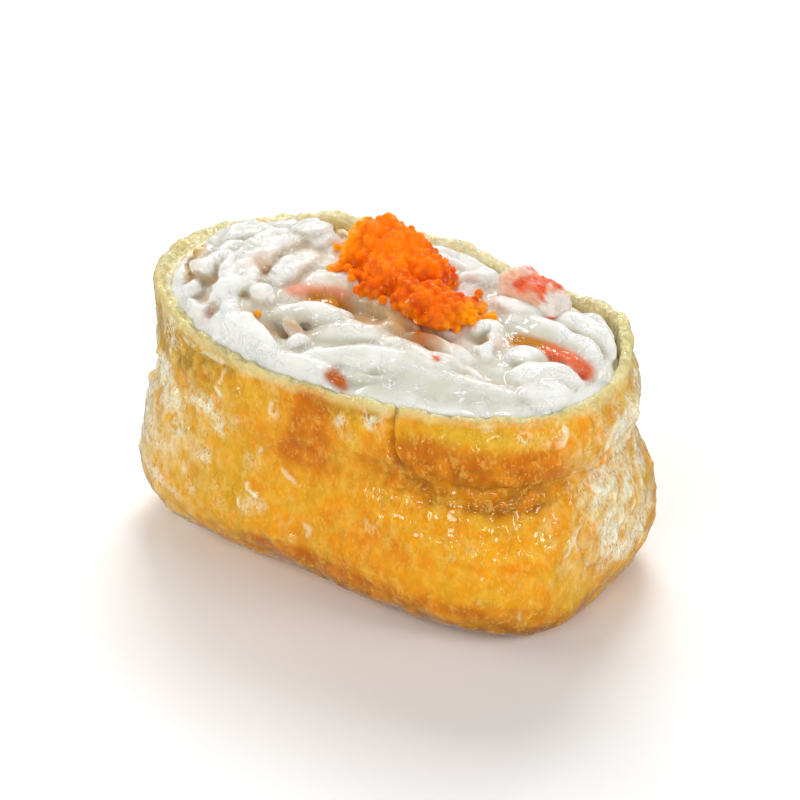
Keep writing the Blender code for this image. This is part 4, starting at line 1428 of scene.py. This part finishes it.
# %% Colours of the salad
# Tints of the salad. Pink, salmon and coral are the crab's red skin under the dressing. The warm,
# amber, deep and pocket ones are painted shade in hollows, pits and gaps, and painted shadow under
# the roe. The clear ones are thinner dressing with painted shade on slopes.
TINTS_AND_SHADE = (  # middle x and y in mm, heading, half length, half width, colour, strength
    (1.6, -6.0, -12, 9.0, 3.0, WARM_SHADE, 1.2),
    (9.2, -5.6, -40, 3.6, 2.6, AMBER_AND_SHADE, 1.0),
    (9.6, -6.6, -60, 2.0, 1.6, DEEP_AND_SHADE, 0.9),
    (3.6, -8.4, -4, 4.0, 1.0, WARM_SHADE, 0.5),
    (17.0, -1.4, 10, 2.4, 1.0, AMBER_AND_SHADE, 0.35),
    (19.4, -1.2, 60, 1.6, 1.0, PINK, 0.6),
    # painted shade: this pink sits in the hollow beside the left heap
    (-19.0, -7.0, 60, 2.0, 1.2, PINK, 0.6),
    (-20.4, -16.4, 0, 0.9, 0.9, DEEP_AND_SHADE, 0.5),
    (-13.6, -14.1, 0, 2.2, 2.0, PINK, 0.35),
    (-8.2, -13.9, 10, 4.6, 1.8, WARM_SHADE, 0.9),
    (-5.6, -14.6, 10, 1.6, 0.6, DEEP_AND_SHADE, 0.6),
    (8.6, 5.4, 60, 3.0, 1.2, PINK, 0.45),
    (12.4, 7.6, 40, 2.6, 1.6, PINK, 0.35),
    (24.0, -9.6, -6, 6.0, 0.7, PINK, 0.22),
    (20.0, -15.0, 12, 12.0, 2.6, CLEAR_AND_SHADED, 1.0),
    (10.0, -18.4, 14, 6.0, 2.0, CLEAR_AND_SHADED, 0.9),
    (25.0, 1.9, -10, 8.0, 1.4, CLEAR_AND_SHADED, 0.9),
    (-9.0, -12.8, 10, 6.0, 1.2, CLEAR_AND_SHADED, 0.8),
    (-1.0, -13.4, 20, 5.0, 1.4, CLEAR_AND_SHADED, 0.6),
    (-24.0, 2.0, 50, 5.0, 1.4, CLEAR_AND_SHADED, 0.3),
    (-30.2, -6.0, -62, 4.4, 1.3, POCKET_SHADE, 1.0),
    (-27.0, 11.0, 42, 5.0, 1.8, POCKET_SHADE, 0.7),
    (-19.4, 12.2, 10, 4.6, 1.6, POCKET_SHADE, 1.0),
)


def salad_colours(points):
    """Painted light and shade by depth under the smoothed map: mayonnaise white on the crests,
    clear grey beside them and warm in the hollows. Then the listed tints, frayed by noise: the
    crab's red skin, and painted shade in pits and gaps and under the roe; and the flakes' own
    colours."""
    x, y, z = points.T
    depth = (salad_smooth[cell_of(x, y)] - z) / MM
    # painted shade: the deeper a point lies below the smoothed map, the warmer and dimmer
    hollow = ease((depth - 0.05) / 1.1)
    # painted light: near the top of the smoothed map the colour turns white
    crest = ease(0.5 - 2.2 * depth + 0.35 * noise(points, 3 * MM, 103))
    colours = mix(np.broadcast_to(CLEAR_AND_SHADED, points.shape), MAYO, 0.15 + 0.85 * crest)
    colours = mix(colours, WARM_SHADE, 0.85 * hollow)
    frayed = 1 + 0.5 * noise(points, 1.6 * MM, 102)
    for x0, y0, heading, length, width, colour, strength in TINTS_AND_SHADE:
        weight = plan_bell(x, y, x0, y0, heading, length, width, strength) * frayed
        colours = mix(colours, colour, np.clip(weight, 0, 1))
    for path, width, _, colour, spread in FLAKES:
        line = smooth_path(path, 12) * MM
        away = np.sqrt(((points[:, None] - line[None]) ** 2).sum(-1).min(1))
        outside = np.maximum(away - 0.36 * width * MM, 0)
        colours = mix(colours, colour, bell(outside, spread * MM))
    return colours


def roughened(mesh, points, relief):
    """Moves a mesh's points along their normals by a relief, in metres."""
    normals = np.empty(len(points) * 3, np.float32)
    mesh.vertices.foreach_get("normal", normals)
    moved = points + relief[:, None] * normals.reshape(-1, 3)
    mesh.vertices.foreach_set("co", moved.astype(np.float32).ravel())
    mesh.update()
    return moved


left_end = ease((-salad_points[:, 0] - 10 * MM) / (8 * MM))
creamy = (0.07 + 0.33 * left_end) * noise(salad_points, 1.9 * MM, 111)
creamy += (0.03 + 0.13 * left_end) * noise(salad_points, 0.9 * MM, 112)
salad_points = roughened(salad_mesh, salad_points, creamy * MM)
print("relief of the dressing: up to", creamy.max().round(2), "mm")

# %% [markdown]
# The dressing is white but not chalk: light wanders in it, so its shadows are soft and warm,
# the warmth partly painted, and its surface is a clear wet film with fine wrinkles that break
# up reflections. Their crests carry painted white highlights.

# %% Salad material and pieces


def make_salad_material():
    """Wet creamy white: strong scattering under a clear coat, whose fine broken wrinkles catch
    the small lamps; their crests are painted white as highlights, away from the red flakes."""
    material, tree, shader, place, tint = start_material("crab_salad")
    mottle = place_group(tree, mottling, place, scale=420, contrast=0.10)
    film = place_group(tree, wet_wrinkles, place, scale=270, swirl=2.8, width=0.042, cover=0.48)
    colour = uneven(tree, tint, mottle.outputs["Tone"])
    channels = add(tree, "ShaderNodeSeparateColor")
    tree.links.new(tint, channels.inputs["Color"])
    dressed = remap(tree, channels.outputs["Blue"], 0.25, 0.55, 0.15, 0.95)
    # painted highlight: the wrinkles' crests turn white where the stored tint is white
    white = math_node(tree, "MULTIPLY", film.outputs["Crest"], dressed)
    colour = blend_colours(tree, white, colour, (*PAINTED_HIGHLIGHT_WHITE, 1))
    finish_material(
        tree, shader, colour, film.outputs["Height"], 0.12 * MM,
        roughness=0.45, subsurface_weight=0.5, subsurface_scale=1.0 * MM,
        subsurface_radius=(1.0, 0.92, 0.8), coat_weight=1.0, coat_roughness=0.02,
        ior=1.36, specular_ior_level=0.15,
    )
    return material


salad_material = make_salad_material()
salad = finished("salad_shreds", salad_mesh, salad_material, salad_colours(salad_points))

core = core_rows()
salad_core = new_piece(
    "salad_core",
    stacked(core, (0, 0, SKIN + SALAD_GAP), (0, 0, core[-1, :, 2].mean())),
    ring_faces(*core.shape[:2]),
    salad_material,
    np.broadcast_to(MAYO, (core.shape[0] * core.shape[1] + 2, 3)),
)
for piece in (salad, salad_core):
    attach(piece, "root")
    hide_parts("crab_salad")
print("salad box in mm:", (np.array(salad.dimensions) / MM).round(1))

# %% [markdown]
# The roe is a few hundred eggs of flying fish, each about 1.3 mm across. Only those at the
# outside of the heap show, so a smaller core carries them. The heap is a few overlapping
# spoonfuls: each is a dome over an ellipse. Eggs are dropped on it one at a time, and an egg
# is kept where it doesn't sit too deep in one that is already there.

# %% The heap of roe
EGG = 1.32 * MM  # diameter
SPACING = 0.80 * EGG  # least distance between two eggs
BETWEEN_SINK = 0.52 * EGG  # of the roe that fills the gaps between eggs
CORE_SINK = 1.6 * EGG
DROPS, MOST_EGGS = 16000, 900
ROE_DEPTH = 6.9 * MM
ROE_MIDDLE = np.array([0.5, 2.6]) * MM
ROE_VOXEL = 0.19 * MM
LONE_EGG = (-13.6, -14.1)  # x and y in mm of one that fell near the front
SPOONFULS = (  # middle x and y, half length, half width in mm, heading, share of the depth
    (-5.6, 6.6, 7.0, 5.2, 0, 1.00),
    (-0.4, 6.4, 5.6, 4.2, -12, 0.70),
    (-2.4, 1.6, 4.6, 3.6, -20, 0.62),
    (5.4, -0.8, 6.4, 3.5, -4, 0.46),
    (9.6, 0.4, 3.4, 2.6, 10, 0.30),
    (-2.8, -1.4, 3.2, 2.2, -20, 0.30),
    (8.4, -2.9, 3.2, 2.0, 0, 0.26),
    (-9.0, 0.2, 2.2, 1.7, -10, 0.20),
    (-2.9, 9.0, 2.0, 1.6, 0, 0.86),
    (10.4, 3.6, 2.2, 1.8, 30, 0.16),
)
STRAY_EGGS = (  # x and y in mm
    (-12.4, 5.6), (-11.2, 3.0), (-10.4, 1.8), (-12.9, 3.9), (-11.8, 4.4), (-9.6, 2.6), (-8.2, 0.2),
    (-7.4, -1.0), (-6.2, -1.9), (9.7, 6.6), (10.0, 5.4), (10.5, 4.2), (11.2, 3.2), (11.8, 2.2),
    (12.6, 1.2), (13.5, 0.9), (13.9, 2.0), (14.2, 3.2), (14.9, 2.4), (10.9, 5.0), (9.2, 7.4),
    (-10.1, -1.0), (-8.8, -1.5), (-10.3, 0.6), (-5.5, -2.8), (-3.9, -3.8), (12.4, 3.0), (11.9, 4.6),
    (4.6, 8.2), (5.4, 7.0), (3.8, 4.4), (12.3, 3.6), (13.2, -0.4), (11.6, -1.8), (1.0, -4.4),
)


def roe_depth(x, y):
    """Depth of the roe at a place: the deepest of the spoonfuls' domes, each its share of
    the full depth times (1 - r^2.6)^0.6, where r is how far out in its ellipse the place
    is, made uneven by noise."""
    depth = np.zeros(np.shape(x))
    uneven_edge = 1 + 0.22 * noise(np.stack([x, y, 0 * x], -1), 2.8 * MM, 127)
    for middle_x, middle_y, half_length, half_width, heading, share in SPOONFULS:
        along, aside = turned(x, y, middle_x, middle_y, heading)
        out = np.hypot(along / (half_length * MM), aside / (half_width * MM))
        dome = np.clip(1 - (uneven_edge * out) ** 2.6, 0, 1) ** 0.6
        depth = np.maximum(depth, share * ROE_DEPTH * dome)
    return depth


def roe_top(x, y):
    """Height of the heap's surface: it stands on the heap of salad, lumpy by noise."""
    place = np.stack([x, y, 0 * x], -1)
    lumps = 1.1 * MM * noise(place, 2.6 * MM, 121)
    depth = roe_depth(x, y)
    return heap_height(x, y) + 0.9 * MM + depth + lumps * ease(depth / (2 * MM))


def dropped_eggs(random, count, sink):
    """Middles of many eggs on the heap, crowded where it is steep, sunk below its surface."""
    x = random.uniform(-14, 15, count) * MM
    y = random.uniform(-6, 13, count) * MM
    inside = roe_depth(x, y) > 0.15 * MM
    x, y = x[inside], y[inside]
    step = 0.2 * MM
    slope = np.stack([roe_top(x + step, y) - roe_top(x - step, y),
                      roe_top(x, y + step) - roe_top(x, y - step)], -1) / (2 * step)
    steep = np.sqrt(1 + np.minimum((slope**2).sum(-1), 9))
    kept = random.random(len(x)) < steep / steep.max()
    down = random.uniform(0, 1, len(x)) * np.minimum(roe_depth(x, y), 0.5 * MM) * (steep > 1.6)
    return np.stack([x, y, roe_top(x, y) - sink - down], -1)[kept]


def settled(candidates, spacing, limit):
    """The candidates that keep their distance from all kept before them."""
    kept = np.empty((0, 3))
    for middle in candidates:
        if len(kept) == limit:
            break
        if not len(kept) or np.min(np.sum((kept - middle) ** 2, -1)) > spacing**2:
            kept = np.concatenate([kept, middle[None]])
    return kept


roe_random = np.random.default_rng(5)
lone_egg = np.array([*LONE_EGG, 0]) * MM
lone_egg[2] = salad_height(*lone_egg[:2]) + 0.05 * MM
stray = np.array(STRAY_EGGS) * MM
stray = np.column_stack([stray, salad_height(stray[:, 0], stray[:, 1]) + 0.40 * EGG])
stray = np.concatenate([stray, [lone_egg]])
outer_eggs = dropped_eggs(roe_random, DROPS, 0.5 * EGG)
eggs = settled(np.concatenate([stray, outer_eggs]), SPACING, MOST_EGGS)
print(len(eggs), "eggs on the heap")

# %% [markdown]
# A plain lens just below the eggs' tops closes the gaps between them. Eggs and lens are
# fused the way the salad was, so that the heap is one wet skin of beads.

# %% Eggs as one mesh


def ball(divisions):
    """Points and faces of a unit ball made of near-equal triangles."""
    shape = bmesh.new()
    bmesh.ops.create_icosphere(shape, subdivisions=divisions, radius=1)
    points = np.array([vertex.co for vertex in shape.verts])
    faces = np.array([[vertex.index for vertex in face.verts] for face in shape.faces])
    shape.free()
    return points, faces


def many_balls(middles, radii, random):
    """A ball at each middle, each a little flattened its own way."""
    points, faces = ball(2)
    flat = 1 + random.uniform(-0.07, 0.07, (len(middles), 1, 3))
    placed = middles[:, None] + radii[:, None, None] * points[None] * flat
    shifted = faces[None] + np.arange(len(middles))[:, None, None] * len(points)
    return placed.reshape(-1, 3), shifted.reshape(-1, 3).tolist()


TANGERINE = tone(255, 131, 0)
RED_ORANGE = tone(200, 62, 0)
HONEY = tone(252, 164, 0)
# painted highlight, for glints between the eggs
PAINTED_GLINT = tone(255, 226, 180)


def roe_colours(points):
    """Tangerine, redder low in the heap as painted shade, and uneven from egg to egg by noise
    as wide as an egg; then honey at both ends of the heap and at its thin edges."""
    # painted shade: darker red towards the bottom of the heap
    low = ease(1 - (points[:, 2] - 39 * MM) / (6.5 * MM))
    uneven_eggs = 0.45 * noise(points, 1.5 * MM, 125) + 0.4 * noise(points, 3.5 * MM, 128)
    redness = np.clip(0.12 + low + uneven_eggs, 0, 1)
    colours = mix(np.broadcast_to(TANGERINE, points.shape), RED_ORANGE, redness)
    thin = ease((-points[:, 0] - 7 * MM) / (4 * MM)) + ease((points[:, 0] - 9.5 * MM) / (3.5 * MM))
    thin = np.maximum(thin, 0.4 * ease(1 - roe_depth(points[:, 0], points[:, 1]) / (1.5 * MM)))
    return mix(colours, HONEY, np.clip(0.75 * thin + 0.2 * noise(points, 1.1 * MM, 126), 0, 1))


def roe_rows(sink, least, around, outwards):
    """A closed lens in the shape of the heap, its top sunk below the heap's surface. Its
    outline is where the roe is deeper than the least depth."""
    angle = np.linspace(-math.pi, math.pi, around, endpoint=False)
    steps = np.linspace(0.5, 18, 200)[:, None] * MM
    middle_x, middle_y = ROE_MIDDLE
    probe = roe_depth(middle_x + steps * np.cos(angle), middle_y + steps * np.sin(angle))
    covered = probe > least
    edge = np.where(covered, steps, 0.5 * MM).max(0)
    reach = np.linspace(0, 1, outwards)[1:, None] * edge
    x, y = middle_x + reach * np.cos(angle), middle_y + reach * np.sin(angle)
    below = heap_height(x, y) - 0.4 * MM
    above = np.maximum(roe_top(x, y) - sink, below + 0.1 * MM)
    rows = np.concatenate([np.stack([x, y, below], -1), np.stack([x, y, above], -1)[::-1]])
    poles = [(middle_x, middle_y, row[:, 2].mean()) for row in (rows[0], rows[-1])]
    return stacked(rows, *poles), ring_faces(*rows.shape[:2])


radii = EGG / 2 * roe_random.uniform(0.92, 1.10, len(eggs))
egg_points, egg_faces = many_balls(eggs, radii, roe_random)
between_eggs = roe_rows(BETWEEN_SINK, 0.6 * MM, 120, 40)
roe_mesh = fused("roe_eggs", *joined((egg_points, egg_faces), between_eggs), ROE_VOXEL, 3)
print("roe:", len(roe_mesh.polygons), "faces")

# %% [markdown]
# A fish egg is a clear skin round bright yolk. Light passes through many eggs before it
# comes back, so the heap glows; that glow is painted: its material gives off a little of its
# own colour. Small lamps make it glisten, and so do short light lines painted into the colour
# as glints.

# %% Roe material and pieces


def make_roe_material():
    """Orange eggs with a painted glow of their own colour, a thin gloss and short painted glints."""
    material, tree, shader, place, tint = start_material("fish_roe")
    mottle = place_group(tree, mottling, place, scale=900, contrast=0.14)
    film = place_group(tree, wet_wrinkles, place, scale=900, swirl=1.8, width=0.08, cover=0.3)
    painted_glints = place_group(tree, wet_wrinkles, place, scale=620, swirl=2.6, width=0.025, cover=0.0)
    colour = uneven(tree, tint, mottle.outputs["Tone"])
    # painted glints: short light lines mixed into the colour
    colour = blend_colours(tree, painted_glints.outputs["Crest"], colour, (*PAINTED_GLINT, 1))
    finish_material(
        tree, shader, colour, film.outputs["Height"], 0.05 * MM,
        roughness=0.35, subsurface_weight=0.8, subsurface_scale=1.6 * MM,
        subsurface_radius=(1.0, 0.35, 0.05), coat_weight=0.6, coat_roughness=0.04,
        ior=1.34, specular_ior_level=0.03, emission_strength=0.18,
    )
    # painted glow: the eggs give off their own colour, though they are no lamp
    tree.links.new(tint, shader.inputs["Emission Color"])
    return material


roe_material = make_roe_material()
roe = finished("roe_eggs", roe_mesh, roe_material, roe_colours(mesh_points(roe_mesh)))
core_points, core_faces = roe_rows(CORE_SINK, 1.2 * MM, 48, 14)
roe_core = new_piece(
    "roe_core", core_points, core_faces, roe_material, np.broadcast_to(RED_ORANGE, core_points.shape)
)
for piece in (roe, roe_core):
    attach(piece, "root")
    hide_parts("fish_roe")

# %% [markdown]
# The chunk is a cut length of crab stick: a bundle of fibres in a thin red skin. It lies
# with its skin up and back, torn at the corner, and its foot is lost in mayonnaise. It is
# a rounded block, given by two angles like a ball but squarer, with grooves along its
# fibres.

# %% The chunk of crab stick
CHUNK_HALF = np.array([5.1, 3.4, 2.7]) * MM
CHUNK_MIDDLE = np.array([16.8, 10.4, 39.7]) * MM
CHUNK_HEADING, CHUNK_TILT = math.radians(-14), math.radians(-12)


def chunk_grid(around=200, up=110):
    """A superellipsoid: cosines and sines raised to the power 0.5, sign kept, so that the
    ball becomes a block with rounded edges; then fibres, tears and dents from noise, a
    raised tip at the left end and a dip beside it."""
    turn = np.linspace(-math.pi, math.pi, around, endpoint=False)
    rise = np.linspace(-math.pi / 2, math.pi / 2, up)[1:-1, None]

    def squared(value):
        return np.sign(value) * abs(value) ** 0.5

    shape = np.stack(
        [squared(np.cos(rise)) * squared(np.cos(turn)),
         squared(np.cos(rise)) * squared(np.sin(turn)),
         squared(np.sin(rise)) + 0 * turn], -1,
    )
    narrowed = 1 - 0.10 * shape[..., :1] * (0, 1, 0.6) - 0.14 * shape[..., 2:] * (1, 1, 0)
    points = shape * narrowed * CHUNK_HALF
    fibres = ridges(points * (0.14, 1, 1), 0.6 * MM, 131, 2.2) - 0.5
    fibres = fibres * ease((0.9 - shape[..., 0]) / 0.2)
    dents = noise(points, 2.6 * MM, 132)
    torn = noise(points * (0.6, 1, 1), 0.7 * MM, 133) * ease(0.3 + shape[..., 2])
    tip = bell(shape[..., 0] + 0.95, 0.22) * bell(shape[..., 2] - 1, 0.6)
    dip = bell(shape[..., 0] + 0.35, 0.35) * ease(shape[..., 2] / 0.8)
    relief = (0.16 * fibres + 0.55 * dents + 0.40 * torn + 1.1 * tip - 0.8 * dip) * MM
    outward = shape / np.linalg.norm(shape, axis=-1, keepdims=True)
    return shape, points + relief[..., None] * outward


def placed_chunk(points):
    """Tilted about its length, turned to its heading, and moved to its place."""
    x, y, z = np.moveaxis(points, -1, 0)
    y, z = (y * math.cos(CHUNK_TILT) - z * math.sin(CHUNK_TILT),
            y * math.sin(CHUNK_TILT) + z * math.cos(CHUNK_TILT))
    x, y = (x * math.cos(CHUNK_HEADING) - y * math.sin(CHUNK_HEADING),
            x * math.sin(CHUNK_HEADING) + y * math.cos(CHUNK_HEADING))
    return np.stack([x, y, z], -1) + CHUNK_MIDDLE


RED_SKIN = tone(236, 84, 20)
CRAB_PINK = tone(244, 190, 156)
CRAB_WHITE = tone(250, 236, 226)


def chunk_colours(shape, points):
    """Pink, whiter at its foot and both ends, with coral skin along the top and a spot of
    it on the right end, all frayed by noise."""
    across, _, up = np.moveaxis(shape, -1, 0)
    frayed = 0.8 * noise(points, 2.2 * MM, 141) + 0.4 * noise(points * (0.5, 1, 1), 0.7 * MM, 142)
    pale = ease(0.55 * (across - 0.75) / 0.2 + 0.5 + frayed) + ease(-0.2 - 1.4 * up + frayed)
    pale += 0.7 * ease((-0.55 - across + 0.4 * frayed) / 0.3)
    colours = mix(np.broadcast_to(CRAB_PINK, shape.shape), CRAB_WHITE, np.clip(pale, 0, 1))
    bare = ease((up - 0.45 + 0.7 * frayed) / 0.5)
    bare *= ease((across + 0.70 + 0.5 * frayed) / 0.4) * ease((0.90 - across + 0.4 * frayed) / 0.3)
    spot = 1.6 - np.hypot(across - 0.92, (up + 0.35) / 0.7) / 0.16
    red = np.maximum(bare, ease(spot + 1.1 * frayed))
    return mix(colours, RED_SKIN, 0.9 * red)


def make_crab_material():
    """Moist crab stick: soft pink to red, with a thin wet film."""
    material, tree, shader, place, tint = start_material("crab_stick", (0.4, 1, 1))
    mottle = place_group(tree, mottling, place, scale=700, contrast=0.18)
    film = place_group(tree, wet_wrinkles, place, scale=900, swirl=0.8, width=0.10)
    colour = uneven(tree, tint, mottle.outputs["Tone"])
    finish_material(
        tree, shader, colour, film.outputs["Height"], 0.12 * MM, 0.8,
        roughness=0.34, subsurface_weight=0.5, subsurface_scale=1.4 * MM,
        subsurface_radius=(1.0, 0.5, 0.35), coat_weight=0.6, coat_roughness=0.10, ior=1.40,
    )
    return material


crab_material = make_crab_material()
chunk_shape, chunk_points = chunk_grid()
chunk_rows = placed_chunk(chunk_points)
foot, head = placed_chunk(np.array([(0, 0, -1.0), (0, 0, 1.0)]) * CHUNK_HALF)
chunk_tints = chunk_colours(chunk_shape, chunk_points).reshape(-1, 3)
chunk = new_piece(
    "crab_chunk_cut",
    stacked(chunk_rows, foot, head),
    ring_faces(*chunk_rows.shape[:2]),
    crab_material,
    np.concatenate([chunk_tints, [CRAB_WHITE, RED_SKIN]]),
)
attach(chunk, "root")
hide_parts("crab_chunk")

# %% [markdown]
# The studio is plain: a pale floor, a dim even surround, and large soft lamps above and to
# the sides. Those would veil the wet film, so it doesn't mirror them: a ring of small
# lamps, the sparks, draws its wrinkles instead. The camera has a long lens and stands
# where the sushi's right front corner comes towards it.

# %% Floor, light and camera
CAMERA_DIRECTION = 34.7  # degrees round from the front towards the right end
CAMERA_RISE = 31.2  # degrees above the horizon
CAMERA_DISTANCE = 0.5
CAMERA_AIM = (-0.7 * MM, 2.2 * MM, 20.8 * MM)
LENS = 156.5
SPARKS = (  # direction and rise in degrees
    (-150, 12), (-112, 10), (-84, 12), (-62, 8), (-40, 12), (-14, 10), (14, 12), (-125, 38),
    (-90, 40), (-50, 42), (-10, 40), (150, 24), (112, 50), (100, 30), (136, 36), (160, 44),
    (122, 16),
)
SPARK_DISTANCE, SPARK_SIZE, SPARK_POWER = 0.55, 0.06, 0.12
PAST_THE_SUSHI = (-0.49, 0.70, -0.52)  # the way the camera looks
FLOOR_WHITE = (0.97, 0.97, 0.97, 1)


def make_floor():
    """A wide pale sheet that isn't part of the sushi."""
    mesh = bpy.data.meshes.new("floor")
    mesh.from_pydata([(-4, -4, 0), (4, -4, 0), (4, 4, 0), (-4, 4, 0)], [], [(0, 1, 2, 3)])
    material = bpy.data.materials.new("floor")
    material.use_nodes = True
    shader = material.node_tree.nodes["Principled BSDF"]
    set_shader(shader, base_color=FLOOR_WHITE, roughness=0.7)
    mesh.materials.append(material)
    floor = linked("floor", mesh)
    floor.visible_glossy = False


def aim(thing, place, target):
    """Puts a lamp or camera at a place, looking at the target."""
    thing.location = place
    look = Vector(target) - Vector(place)
    thing.rotation_euler = look.to_track_quat("-Z", "Y").to_euler()


def add_lamp(name, place, size, power, mirrored):
    """A square soft lamp that looks at the middle of the sushi. Only a mirrored lamp shows
    in the wet film, as a highlight."""
    light = bpy.data.lights.new(name, "AREA")
    light.size = size
    light.energy = power
    lamp = linked(name, light)
    lamp.visible_glossy = mirrored
    aim(lamp, place, CAMERA_AIM)


def make_surround(brightness, beyond):
    """A dim white surround, brighter only where the camera looks on past the sushi: there
    it lights up the wet film along the outline and nowhere else."""
    world = bpy.data.worlds.new("surround")
    world.use_nodes = True
    tree = world.node_tree
    background = tree.nodes["Background"]
    background.inputs["Color"].default_value = (1, 1, 1, 1)
    where = add(tree, "ShaderNodeTexCoord")
    facing = add(tree, "ShaderNodeVectorMath", operation="DOT_PRODUCT")
    facing.inputs[1].default_value = PAST_THE_SUSHI
    tree.links.new(where.outputs["Generated"], facing.inputs[0])
    strength = remap(tree, facing.outputs["Value"], 0.7, 0.97, brightness, beyond)
    tree.links.new(strength, background.inputs["Strength"])
    bpy.context.scene.world = world


make_floor()
make_surround(0.14, 0.3)
add_lamp("key lamp", (-0.20, 0.36, 0.50), 0.30, 2.6, False)
add_lamp("left lamp", (-0.60, -0.30, 0.35), 0.30, 1.15, False)
add_lamp("right lamp", (0.60, 0.05, 0.30), 0.30, 1.25, False)
add_lamp("front lamp", (0.15, -0.70, 0.45), 0.35, 1.25, False)
add_lamp("back spark", (-0.22, 0.34, 0.38), 0.05, 0.12, True)
for around, rise in np.radians(SPARKS):
    flat = math.cos(rise)
    direction = np.array([math.cos(around) * flat, math.sin(around) * flat, math.sin(rise)])
    add_lamp("spark", tuple(SPARK_DISTANCE * direction), SPARK_SIZE, SPARK_POWER, True)

camera_data = bpy.data.cameras.new("camera")
camera_data.lens = LENS
camera_data.sensor_width = 36
camera = linked("camera", camera_data)
turn, rise = math.radians(CAMERA_DIRECTION), math.radians(CAMERA_RISE)
flat = math.cos(rise)
back = np.array([math.sin(turn) * flat, -math.cos(turn) * flat, math.sin(rise)])
aim(camera, np.array(CAMERA_AIM) + CAMERA_DISTANCE * back, CAMERA_AIM)
bpy.context.scene.camera = camera
bpy.context.scene.view_settings.view_transform = "Standard"
print("camera at", tuple(round(v, 3) for v in camera.location))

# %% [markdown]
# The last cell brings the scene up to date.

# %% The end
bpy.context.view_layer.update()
